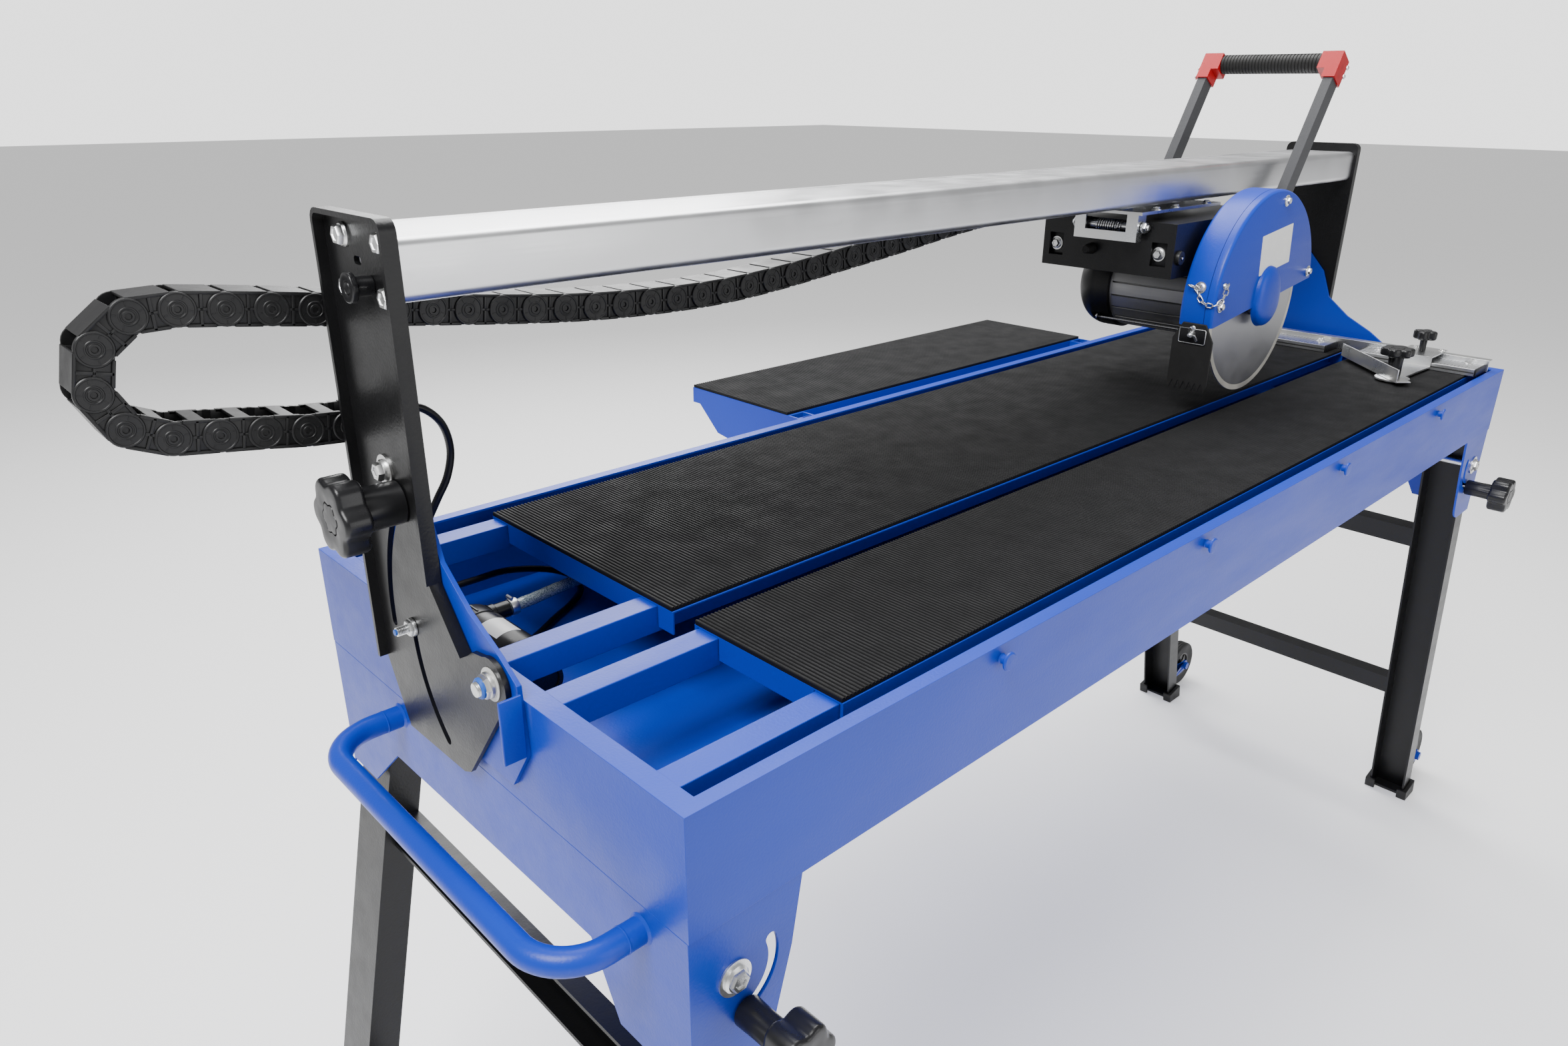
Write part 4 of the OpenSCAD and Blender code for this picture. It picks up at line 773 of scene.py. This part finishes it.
motorR = (motorHigh[2] - motorLow[2]) / 2
makePiece("motor_fins", [
    prism(finnedOutline(motorLook, motorR), 1, motorLow[1] + 5, motorHigh[1] - 3, 0.5),
    lathe([(12, 0), (motorR - 1.2, 0), (motorR, 1.2), (motorR, 4.4), (motorR - 5, 5.2), (12, 5.2)],
          (shaftX, motorLow[1], shaftZ), toBack, 72),
    lathe([(20, 0), (motorR, 0), (motorR, 3.4), (20, 3.4)], (shaftX, motorHigh[1] - 3.2, shaftZ), toBack, 72)],
    "head", finnedAluminium, ["motor_housing"], sharp=25)


def notched(t, h):
    # k(t): shallow notches at the four tie rods, only near the rim
    bump = np.exp(-((np.mod(t, np.pi / 2) - np.pi / 4) / 0.085) ** 4)
    return 1 - 0.068 * bump * (h < 30)


capR, capL = (capHigh[0] - capLow[0]) / 2, capHigh[1] - capLow[1]
capProfile = [(10, 0), (capR - 1, 0), (capR, 1), (capR, 22), (capR - 0.4, 25.2)]
capProfile += [(capR - 36 + 36 * cos(t), 25.6 + 36 * sin(t)) for t in np.radians(np.linspace(4, 60, 9))]
capProfile += [(capR - 20, 57.4), (capR - 22, 57.0), (capR - 23.5, 58.5), (26, 60.6), (25, 59.6), (23.5, 61.0),
               (10, capL - 0.3), (1, capL)]
makePiece("motor_cap_dome", [lathe(capProfile, (shaftX, capLow[1], shaftZ), toBack, 160, radial=notched)],
          "head", blackPlastic, ["motor_end_cap"], sharp=28)
rodShells = []
for a in np.radians([45, 135, 225, 315]):
    at = np.array([shaftX + (motorR + 5.5) * cos(a), motorLow[1], shaftZ + (motorR + 5.5) * sin(a)])
    rodShells.append(lathe([(0.3, 0.5), (1.9, 0.5), (1.9, 170), (0.3, 170)], at, toBack, 16))
    rodShells.append(thread(at, toBack, 2.0, 158, 180, 0.9))
    rodShells += hexBolt(at + [0, 174.5, 0], toBack, 3.6, 3.4, 1.12, 0.8)
makePiece("motor_tie_screws", rodShells, "head", steel, ["motor_tie_rods"])

print("guard and blade")
backLow, backHigh = span("guard_back")
guardLook = {"r": 147, "tip": 7, "wall": 2.5, "round": 5, "bossR": 34, "bossH": 12,
             "bolts": (82, 12, 176), "boltIn": 14, "rimBolt": (167.5, 222), "lug": (1046, 172)}
faceY, splitY, backY = span("guard_front")[0][1] + 12, backLow[1], backHigh[1]


def halfTurn(profile, a0, a1, steps=72):
    # S(a, j) = c + r(j) (cos a, sin a) at y(j): a closed (r, y) outline carried through part of a turn
    t = np.radians(np.linspace(a0, a1, steps + 1))[:, None]
    r, y = np.asarray(profile, float).T
    points = np.stack([shaftX + r * np.cos(t), y + 0 * t, shaftZ + r * np.sin(t)], -1)
    return gridShell(points, closeV=True, caps=True)


def guardHalf(face, seam):
    # a cheek, a rounded corner and a rim, all one sheet thick; face may lie on either side of the seam
    g, s = guardLook, 1 if seam > face else -1
    r, w, b = g["r"], g["wall"], g["round"]
    outer = [(0.5, face), (r - b, face)]
    outer += [(r - b + b * sin(t), face + s * b * (1 - cos(t))) for t in np.radians([30, 60, 90])]
    inner = [(r - w, seam), (r - w, face + s * b)]
    inner += [(r - b, face + s * w), (0.5, face + s * w)]
    return halfTurn(outer + [(r, seam)] + inner, g["tip"], 180 + g["tip"])


def bossShell(look):
    # r(t, h) = R k(t) cos e, h = H sin e: half an egg whose long end points up the guard
    e = np.linspace(0, np.pi / 2, 9)[:-1]
    profile = [(look["bossR"] * cos(a) ** 0.7, look["bossH"] * sin(a) ** 0.8) for a in e]

    def egg(t, h):
        u, v, _ = axes(toFront)
        upward = np.cos(t) * u[2] + np.sin(t) * v[2]
        return 1 + 0.42 * np.clip(upward, 0, 1) ** 2 - 0.03 * np.clip(-upward, 0, 1) + 0 * h
    return lathe([(look["bossR"] * 1.03, -2)] + profile + [(0.5, look["bossH"])],
                 (shaftX, faceY, shaftZ), toFront, 64, radial=egg)


makePiece("guard_cheek", [guardHalf(faceY, splitY - 0.35), bossShell(guardLook)], "head", bluePaint,
          ["guard_front"], sharp=30)
makePiece("guard_rim", [guardHalf(backY, splitY + 0.35)], "head", bluePaint, ["guard_back"], sharp=30)
makePiece("guard_seam", [halfTurn([(guardLook["r"] - 0.8, splitY - 0.5), (guardLook["r"] - 0.8, splitY + 0.5),
                                   (guardLook["r"] - 2.3, splitY + 0.5), (guardLook["r"] - 2.3, splitY - 0.5)],
                                  guardLook["tip"], 180 + guardLook["tip"])], "head", blackRubber)
boltShells = []
for a in np.radians(guardLook["bolts"]):
    out = guardLook["r"] - guardLook["boltIn"]
    at = (shaftX + out * cos(a), faceY, shaftZ + out * sin(a))
    boltShells += hexBolt(at, toFront, 4.6, 4.2, 1.35, 1.2)
rimAngle, rimY = radians(guardLook["rimBolt"][0]), guardLook["rimBolt"][1]
rimOut = np.array([cos(rimAngle), 0, sin(rimAngle)])
rimAt = np.array([shaftX, rimY, shaftZ]) + guardLook["r"] * rimOut
boltShells += hexBolt(rimAt - 0.3 * rimOut, rimOut, 4.6, 4.2, 1.3, 1.0)
lugAt = (guardLook["lug"][0], faceY, guardLook["lug"][1])
boltShells += [lathe([(1, 0), (4.2, 0), (4.2, 0.8), (3.4, 2.6), (1, 3.2)], lugAt, toFront, 24)]
makePiece("guard_fixings", boltShells, "head", zinc, ["guard_bolts"])


def chainRing(centre, along_, across, half=4.6, r=2.6, wire=0.85):
    # a wire bent round a stadium: two straights joined by half circles
    path = [(half - r + x, y) for x, y in arcPoints((0, 0), r, -90, 90, 5)]
    path += [(-half + r + x, y) for x, y in arcPoints((0, 0), r, 90, 270, 5)]
    d = np.asarray(along_, float) / norm(along_)
    n = np.asarray(across, float) - d * (np.asarray(across, float) @ d)
    n /= norm(n)
    points = [np.asarray(centre) + x * d + y * n for x, y in path]
    return sweep(circle(wire, 8), points, closedPath=True, up=np.cross(d, n))


hang = smoothCurve([(1024, 234, 171), (1025.5, 224, 167.5), (1024.5, 218, 156), (1024, 209, 150),
                    (1027, 199.5, 149), (1034, 193.5, 154), (1041, 193, 164), (1046, 193, 173)], 12)
hangLength = distances(hang)[-1]
ringCount = int(hangLength / 6.6)
ringAt = evenly(hang, np.linspace(2.5, hangLength - 1.5, ringCount))
rings = []
for i in range(ringCount):
    d = ringAt[min(i + 1, ringCount - 1)] - ringAt[max(i - 1, 0)]
    side = np.cross(d, (1, 0.2, 0.1))
    rings.append(chainRing(ringAt[i], d, side if i % 2 else np.cross(d, side)))
makePiece("guard_chain", rings, "head", steel)
labelTurn = turned("Y", -guardLook["tip"])
label = prism(roundRect(-44, -26, 46, 27, 1.0), 1, -0.35, 0, 0.1)
makePiece("guard_label", [moved(label, labelTurn, (shaftX + 10, faceY, shaftZ + 68))], "head", whiteLabel)

bladeR = (bladeHigh[0] - bladeLow[0]) / 2
rimIn = bladeR - 7
makePiece("blade_disc", [lathe([(7.1, -0.95), (rimIn, -0.95), (rimIn, 0.95), (7.1, 0.95)], bladeAt,
                               toBack, 144, closed=True)], "saw", bladeSteel, ["blade"])
makePiece("blade_rim", [lathe([(rimIn - 0.3, -1.1), (bladeR - 0.3, -1.1), (bladeR, -0.8), (bladeR, 0.8),
                               (bladeR - 0.3, 1.1), (rimIn - 0.3, 1.1)], bladeAt, toBack, 144, closed=True)],
          "saw", diamondRim)

print("flap")
flapLow, flapHigh = span("splash_flap")
flapY = (flapLow[1] + flapHigh[1]) / 2
frontX = flapLow[0]
makePiece("flap_clamp", [boxShell((frontX - 1.6, flapY - 18, flapHigh[2] - 26),
                                  (frontX - 0.1, flapY + 18, flapHigh[2] - 7), 0.5, 0.6)],
          "head", blackPaint)
clampRim = roundRect(flapY - 18, flapHigh[2] - 26, flapY + 18, flapHigh[2] - 7, 2.0, 3)
clampPath = [(frontX - 1.7, y, z) for y, z in clampRim]
makePiece("flap_clamp_edge", [sweep(circle(0.55, 8), clampPath, closedPath=True, up=toFar)], "head",
          zinc)
wingAt = np.array([frontX - 1.6, flapY, flapHigh[2] - 14])
wing = [lathe([(1, 0), (4.4, 0), (3.4, 6), (1, 6)], wingAt, toNear, 24),
        thread(wingAt, toNear, 2.0, 5, 11, 0.9)]
for s in (-1, 1):
    leaf = prism(roundRect(1.5, 2.0, 5.0, 11.0, 1.6), 0, -1.0, 1.0, 0.4)
    wing.append(moved(moved(leaf, turned("X", 20 * s + (180 if s < 0 else 0))), turned("Y", -24),
                      wingAt + [-3.4, 0, 0]))
wing.append(lathe([(1, 0), (3.8, 0), (3.8, 1), (2.6, 2.2), (1, 2.4)], wingAt + [0, 0, 7.5], toNear, 20))
makePiece("flap_wing_nut", wing, "head", zinc)

print("motor bracket")
boxLow = span("motor_bracket")[0]
bracketLook = {"wall": 167, "windows": (21, 175), "windowR": 15, "bolt": 5.5, "peg": (372, 206),
               "button": (14, 204)}
wallX = shaftX - bracketLook["wall"]
windowY = [boxLow[1] + y for y in bracketLook["windows"]]
buttonAt = (wallX + bracketLook["button"][0], boxLow[1], bracketLook["button"][1])
r = bracketLook["windowR"]
inside = [boxShell((wallX + 7, y - r, boxLow[2] + 8), (wallX + 9, y + r, boxLow[2] + 50), 0.4, 0.8)
          for y in windowY]
makePiece("bracket_plates", inside, "head", blackPaint)
shells = []
for y in windowY:
    shells += hexBolt((wallX + 7, y + 3, boxLow[2] + 29), toNear, bracketLook["bolt"], 5, 1.35, 1.4)
makePiece("bracket_bolts", shells, "head", zinc)
makePiece("bracket_peg", [lathe([(1, -1), (7, -1), (7.6, 1), (6.6, 9), (5.6, 16), (4.6, 17), (1, 17)],
                                (wallX, *bracketLook["peg"]), toNear, 32)], "head", blackRubber)
profile = [(1, 0), (9.4, 0), (9.6, 1.2), (8.6, 4.4), (7.2, 5), (3.4, 5), (3.0, 4), (1, 4)]
makePiece("bracket_button", [lathe(profile, buttonAt, toFront, 40)], "head", blackPlastic)
makePiece("bracket_pin", [lathe([(0.4, 3), (2.0, 3), (2.0, 6), (0.4, 6.6)], buttonAt,
                                toFront, 20)], "head", steel)

print("carriage")
hingeLook = {"back": 175, "z": 240, "pin": 4.9, "nut": 7.2, "turns": 11, "wire": 1.1}
hingeX, hingeZ = shaftX - hingeLook["back"], hingeLook["z"]
pinLow, pinHigh = span("plunge_pin")
pinShells = [rod(hingeLook["pin"], pinHigh[1] - pinLow[1] - 6, (hingeX, pinLow[1] + 3, hingeZ), toBack)]
for y, axis in ((pinLow[1] + 7, toFront), (pinHigh[1] - 7, toBack)):
    pinShells += hexBolt((hingeX, y, hingeZ), axis, hingeLook["nut"], 6.2, 1.0, 0, 4.0, 3)
makePiece("hinge_pin", pinShells, "carriage", zinc, ["plunge_pin"])
springLow, springHigh = span("plunge_spring")
t = np.linspace(0, hingeLook["turns"] * 2 * np.pi, hingeLook["turns"] * 16)
coilR = (springHigh[0] - springLow[0]) / 2 - hingeLook["wire"]
coilY = springLow[1] + 1.2 + (springHigh[1] - springLow[1] - 2.4) * t / t[-1]
coil = np.stack([hingeX + coilR * np.cos(t), coilY, hingeZ + coilR * np.sin(t)], 1)
makePiece("hinge_spring", [sweep(circle(hingeLook["wire"], 8), coil, up=toFar)], "carriage", steel,
          ["plunge_spring"])
plateLow, plateHigh = span("carriage_plate")
shells = []
for x in (plateLow[0] + 46, plateLow[0] + 96, plateHigh[0] - 30):
    for y in (railLow[1] + 10, railHigh[1] - 10):
        shells += hexBolt((x, y, railLow[2] - 7.1), toTop, 4.2, 3.4, 1.35, 0.8)
makePiece("carriage_bolts", shells, "carriage", zinc)
for name, body in (("roller_pair_near", "rollers_near"), ("roller_pair_far", "rollers_far")):
    low, high = span(name)
    x, z = (low[0] + high[0]) / 2, (low[2] + high[2]) / 2
    shells = []
    for y in (low[1], high[1] - 11):
        shells.append(lathe([(5.1, 0), (9.4, 0), (9.4, 0.8), (11, 0.8), (12, 1.8), (12, 9.2), (11, 10.2),
                             (9.4, 10.2), (9.4, 11), (5.1, 11)], (x, y, z), toBack, 48, closed=True))
    makePiece(name + "_wheels", shells, body, blackPlastic, [name])

print("handle")
gripLow, gripHigh = span("handle_grip")
gripLook = {"ridge": 5.0, "deep": 0.9}
gripR, gripL = (gripHigh[2] - gripLow[2]) / 2, gripHigh[1] - gripLow[1]
ribs = int(gripL // gripLook["ridge"])
profile = [(9.1, 0), (gripR - 0.8, 0), (gripR, 0.8)]
for i in range(1, ribs):
    h = i * gripL / ribs
    profile += [(gripR, h - 0.9), (gripR - gripLook["deep"], h - 0.3), (gripR - gripLook["deep"], h + 0.3),
                (gripR, h + 0.9)]
profile += [(gripR, gripL - 0.8), (gripR - 0.8, gripL), (9.1, gripL)]
gripAt = ((gripLow[0] + gripHigh[0]) / 2, gripLow[1], (gripLow[2] + gripHigh[2]) / 2)
makePiece("handle_grip_sleeve", [lathe(profile, gripAt, toBack, 48, closed=True)], "head", blackRubber,
          ["handle_grip"])
handleLook = {"foot": (122, 196), "faces": (258.2, 465.8), "lean": 32, "bolts": (24, 44), "screws": (22, 8)}
footX, footZ = shaftX + handleLook["foot"][0], handleLook["foot"][1]
frontFace, backFace = handleLook["faces"]
shells = hexBolt((footX, frontFace, footZ), toFront, 8, 6, 1.25, 1.6)
shells += hexBolt((footX, backFace, footZ), toBack, 8, 6, 1.25, 1.6)
lean = radians(handleLook["lean"])
for d in handleLook["bolts"]:
    shells += hexBolt((footX + d * sin(lean), frontFace, footZ + d * cos(lean)), toFront, 5, 4, 1.3, 1.2)
makePiece("handle_bolts", shells, "head", zinc)
shells = []
for y, s in ((251.8, -1), (472.4, 1)):
    for d in handleLook["screws"]:
        shells.append(lathe([(0.5, 0), (3.4, 0), (3.2, 1.1), (2.0, 2.0), (0.5, 2.2)],
                            (gripAt[0] - d * sin(lean), y + s * 3.4, gripAt[2] - d * cos(lean)),
                            (0, s, 0), 24))
makePiece("handle_screws", shells, "head", zinc)

print("post fixings")
postLook = {"face": -9, "tiltZ": 4, "railBolts": ((84, 149), (4, 41)), "stop": (134, 134), "stud": 123}
tiltY, tiltZ, outX = bladeAt[1], postLook["tiltZ"], postLook["face"]
shells = []
for y in postLook["railBolts"][0]:
    for z in postLook["railBolts"][1]:
        shells += hexBolt((outX, tiltY + y, railLow[2] + z), toNear, 7.6, 7, 1.18, 0.0)
shells += hexBolt((outX, tiltY + postLook["stop"][0], postLook["stop"][1]), toNear, 7.6, 7, 1.18, 1.6)
makePiece("post_bolts", atBothEnds(shells), "bridge", zinc, ["rail_bolts"])
pinAt, studAt = np.array([outX, tiltY, tiltZ]), np.array([outX, tiltY + postLook["stud"], tiltZ])
shells = hexBolt(pinAt + [-0.8, 0, 0], toNear, 9.6, 7.5, 1.08, 0.0, 5.8, 5)
shells.append(rod(6, 13, pinAt + [12, 0, 0], toNear, 32))
shells += hexBolt(studAt + [-0.4, 0, 0], toNear, 7.2, 5.5, 1.08, 0.0, 3.9, 9)
shells.append(rod(3.85, 6, studAt + [5, 0, 0], toNear))
makePiece("tilt_pivots", atBothEnds(shells), "base", zinc, ["tilt_pins"])
shells = [lathe([(5.9, 0), (8.2, 0), (8.2, 1.6), (7.2, 2.8), (5.9, 2.8)], pinAt + [-7.8, 0, 0], toNear, 32,
                closed=True),
          lathe([(0.3, 0), (2.6, 0), (2.6, 1.4), (0.3, 1.6)], studAt + [-14.8, 0, 0], toNear, 20)]
makePiece("tilt_pivot_inserts", atBothEnds(shells), "base", nutBlue)
shells = [lathe([(6.1, 0), (14.8, 0), (14.8, 0.9), (6.1, 0.9)], pinAt + [3.97, 0, 0], toFar, 40, closed=True),
          lathe([(6.1, 0), (13.2, 0), (13.2, 0.7), (6.1, 0.7)], pinAt + [-0.05, 0, 0], toNear, 40, closed=True)]
makePiece("tilt_washers", atBothEnds(shells), "base", paleWasher)
# a small folded flange stiffens each pivot bracket's front edge
flange = boxShell((-22, tiltY - 34.5, -44), (-3.9, tiltY - 31.8, 8), 0.8, 0.8)
makePiece("bracket_flanges", atBothEnds([flange]), "base", bluePaint)

print("leg fixings")
legLook = {"x": 38, "z": -150, "pin": 4.9}
legX, legZ = legLook["x"], legLook["z"]
shells = hexBolt((legX, 0.9, legZ), toFront, 8.6, 6, 1.22, 1.5)
shells += hexBolt((legX, 65.2, legZ), toBack, 8.0, 6, 1.15, 1.2, 4.9, 3)
shells.append(rod(legLook["pin"], 64, (legX, 1, legZ), toBack))
makePiece("leg_pivots", atBothEnds(atBothSides(shells)), "base", zinc, ["leg_pins"])

print("hook studs")
studLook = {"first": 320, "step": 340, "z": -13, "neck": 4, "head": 8}
neck, head = studLook["neck"], studLook["head"]
profile = [(0.3, 0), (neck + 1.2, 0), (neck, 1.4), (neck, 6.2), (head - 0.6, 6.4), (head, 7.0), (head, 8.2),
           (head - 1.2, 9.2), (0.3, 9.4)]
shells = [lathe(profile, (studLook["first"] + i * studLook["step"], 0.4, studLook["z"]), toFront, 40)
          for i in range(4)]
makePiece("table_studs", atBothSides(shells), "base", bluePaint, ["hook_studs"])

print("lift handle")
barLow, barHigh = span("lift_handle")
tubeR = (barHigh[2] - barLow[2]) / 2
barZ, bendR = (barHigh[2] + barLow[2]) / 2, 42
nearX, y0, y1 = barLow[0] + tubeR, barLow[1] + tubeR, barHigh[1] - tubeR
path = [(0.5, y0), (nearX + bendR, y0)]
path += arcPoints((nearX + bendR, y0 + bendR), bendR, 270, 180, 14)
path += arcPoints((nearX + bendR, y1 - bendR), bendR, 180, 90, 14)
path += [(0.5, y1)]
bar = [sweep(circle(tubeR, 32), [(x, y, barZ) for x, y in path])]
collar = [(tubeR - 1, 0), (tubeR + 0.2, 0), (tubeR + 0.6, 0.4), (tubeR + 0.6, 1.0), (tubeR + 0.2, 1.4),
          (tubeR - 1, 1.4)]
for y in (y0, y1):
    bar.append(lathe(collar, (-15, y, barZ), toNear, 40, closed=True))
    bar.append(lathe([(tubeR - 1, 0), (tubeR + 2.2, 0), (tubeR + 1.0, 1.0), (tubeR, 1.8), (tubeR - 1, 1.8)],
                     (-0.1, y, barZ), toNear, 40, closed=True))
makePiece("lift_bar", bar, "base", bluePaint, ["lift_handle"])

print("wheels")
wheelLook = {"tread": 3.0, "grooves": 3, "hub": 27}
for name, body in (("wheel_front", "front_wheel"), ("wheel_back", "back_wheel")):
    low, high = span(name)
    r, w = (high[2] - low[2]) / 2, high[1] - low[1]
    at = ((low[0] + high[0]) / 2, low[1], (low[2] + high[2]) / 2)
    hub = wheelLook["hub"]
    profile = [(hub, 1.4), (r - 9, 0.6), (r - 6, 0.2), (r - 3, 0.5), (r - 0.8, 2.2)]
    for g in range(wheelLook["grooves"]):
        h = w * (g + 1) / (wheelLook["grooves"] + 1)
        profile += [(r, h - 1.6), (r - 1.2, h - 0.8), (r - 1.2, h + 0.8), (r, h + 1.6)]
    profile += [(r - 0.8, w - 2.2), (r - 3, w - 0.5), (r - 6, w - 0.2), (r - 9, w - 0.6), (hub, w - 1.4)]
    makePiece(name + "_tyre", [lathe(profile, at, toBack, 96, closed=True)], body, tyreRubber, [name])
    rim = [(5.1, 1.2), (10, 1.2), (10.6, 3.6), (hub - 4, 4.4), (hub - 3, 1.6), (hub, 1.2), (hub + 0.4, 2),
           (hub + 0.4, w - 2), (hub, w - 1.2), (hub - 3, w - 1.6), (hub - 4, w - 4.4), (10.6, w - 3.6),
           (10, w - 1.2), (5.1, w - 1.2)]
    spokes = [lathe(rim, at, toBack, 64, closed=True)]
    for k in range(6):
        leaf = boxShell((10, 2.2, -1.4), (hub - 3.4, w - 2.2, 1.4), 0.4, 0.6)
        spokes.append(moved(leaf, turned("Y", 60 * k), at))
    makePiece(name + "_hub", spokes, body, blackPlastic)

print("pump")
pumpX, pumpZ = 85, (pumpLow[2] + 26)
bodyProfile = [(1, 0), (22.5, 0), (24.5, 1.6), (26, 4), (26, 74), (25, 74.6), (25, 77), (26, 77.6), (26, 96),
               (23.5, 103), (18, 107), (1, 107)]
strainer = []
for k in range(18):
    rib = boxShell((-1.3, 0, 14.2), (1.3, 33, 17), 0.3, 0.6)
    strainer.append(moved(rib, turned("Y", 20 * k), (pumpX, 301, pumpZ)))
shells = [lathe(bodyProfile, (pumpX, 335, pumpZ), toBack, 72),
          rod(13.6, 34, (pumpX, 302, pumpZ), toBack, 48, 1)] + strainer
for y in (300, 311, 322):
    shells.append(lathe([(13, 0), (16.4, 0), (17, 0.6), (17, 2.0), (16.4, 2.6), (13, 2.6)], (pumpX, y, pumpZ),
                        toBack, 48, closed=True))
outletY, outletZ = hoseLook["route"][0][1:]
shells.append(lathe([(1, 0), (9.2, 0), (9.2, 22), (8.2, 23), (8.2, 37), (7.2, 37.1), (1, 37.1)],
                    (pumpX, outletY, outletZ), toFar, 36))
shells.append(boxShell((pumpX - 18, 350, pumpLow[2]), (pumpX + 18, 410, pumpLow[2] + 6), 0.8, 2))
for k in range(10):
    rib = boxShell((-0.9, 80, 25.6), (0.9, 95, 26.9), 0.3, 0.4)
    shells.append(moved(rib, turned("Y", 36 * k), (pumpX, 335, pumpZ)))
makePiece("pump_body", shells, "base", satinPlastic, ["pump"])
t = np.radians(np.linspace(62, 118, 12))
wrap = [(pumpX + 26.25 * cos(a), pumpZ + 26.25 * sin(a)) for a in t]
wrap += [(pumpX + 25.9 * cos(a), pumpZ + 25.9 * sin(a)) for a in t[::-1]]
points = np.array([[(x, y, z) for x, z in wrap] for y in (360.0, 392.0)])
makePiece("pump_label", [gridShell(points, closeV=True, caps=True)], "base", whiteLabel)
profile = [(3.4, 0), (5.6, 0), (5.6, 5), (4.6, 9), (3.4, 12), (3.0, 12), (3.0, 0)]
shells = [lathe(profile, cablePath[0] + [-1, 0, 0], toFar, 28, closed=True)]
makePiece("cable_gland", shells, "bridge", blackRubber)
clip = lathe([(6.0, 0), (8.4, 0), (8.6, 0.6), (8.6, 7.4), (8.4, 8), (6.0, 8)], np.array(hosePath[3]) + 0,
             hosePath[6] - hosePath[2], 36, closed=True)
makePiece("hose_clip", [clip] + [thread(hosePath[3] + [2.5, -3, 9.8], toBack, 1.9, 0, 9, 0.9)], "base", zinc)

print("fence")
rulerLow, rulerHigh = span("ruler_bars")
fenceLook = {"bars": ((17, 191), (240, 525)), "tickPitch": 5, "tickHalf": 0.28, "longTick": 16, "midTick": 11,
             "shortTick": 7}
ticks, tickR = [], fenceLook["tickHalf"]
for a, b in fenceLook["bars"]:
    for i, y in enumerate(np.arange(b - 8, a + 8, -fenceLook["tickPitch"])):
        reach = fenceLook["longTick" if i % 10 == 0 else "midTick" if i % 2 == 0 else "shortTick"]
        for x in (rulerLow[0] + 2.5, rulerHigh[0] - 2.5 - reach):
            ticks.append(boxShell((x, y - tickR, rulerHigh[2] - 0.02),
                                  (x + reach, y + tickR, rulerHigh[2] + 0.06), 0.02, 0.05))
makePiece("ruler_ticks", ticks, "base", inkAndGrooveShade)
caps = []
for a, b in fenceLook["bars"]:
    for y in ((a - 1.2, a + 1.6), (b - 1.6, b + 1.2)):
        caps.append(boxShell((rulerLow[0] - 0.6, y[0], rulerLow[2] - 0.1),
                             (rulerHigh[0] + 0.1, y[1], rulerHigh[2] + 0.6), 0.5, 0.8))
makePiece("ruler_caps", caps, "base", blackPlastic)
# painted shade: the ruler bars' grooves are not cut; a flat dark strip on each bar's near face stands in for
# the shade inside a groove
grooves = [boxShell((rulerLow[0] - 0.12, a + 2, 4.4), (rulerLow[0] + 0.2, b - 2, 6.4), 0.04, 0.1)
           for a, b in fenceLook["bars"]]
makePiece("ruler_groove_shade", grooves, "base", inkAndGrooveShade)
sliderLow, sliderHigh = span("fence_slider")
slideMid = (sliderLow[1] + sliderHigh[1]) / 2
shells = []
for y in (-19, 19):
    at = (rulerHigh[0] + 10, slideMid + y, sliderHigh[2])
    shells.append(lathe([(0.3, 0), (4.2, 0), (4.2, 0.8), (3.4, 2.0), (1.6, 2.5), (1.6, 1.2), (0.3, 1.2)], at,
                        toTop, 32))
    shells.append(lathe([(2.6, 0), (5.6, 0), (5.6, 0.3), (2.6, 0.3)], at, toTop, 32, closed=True))
makePiece("slider_screws", shells, "fence", zinc)
shells = []
for a, b in fenceLook["bars"]:
    for y in (a + 22, b - 22):
        shells += hexBolt((rulerHigh[0] - 12, y, rulerHigh[2]), toTop, 4.4, 3.4, 1.3, 0.8)
makePiece("ruler_bolts", shells, "base", zinc)

print("floor")
floorTone = studio["floorTone"]
floorMaterial, _ = newMaterial("paleFloor", (floorTone,) * 3, 0.7,
                               Emission_Color=(1, 1, 1, 1),
                               Emission_Strength=studio["floorGlow"])
reach = np.array([[-30, -30, 0], [30, -30, 0], [30, 30, 0], [-30, 30, 0]], float)
floorMesh = bpy.data.meshes.new("floor")
floorMesh.from_pydata(reach, [], [[0, 1, 2, 3]])
floorMesh.materials.append(floorMaterial)
floor = bpy.data.objects.new("floor", floorMesh)
link(floor)
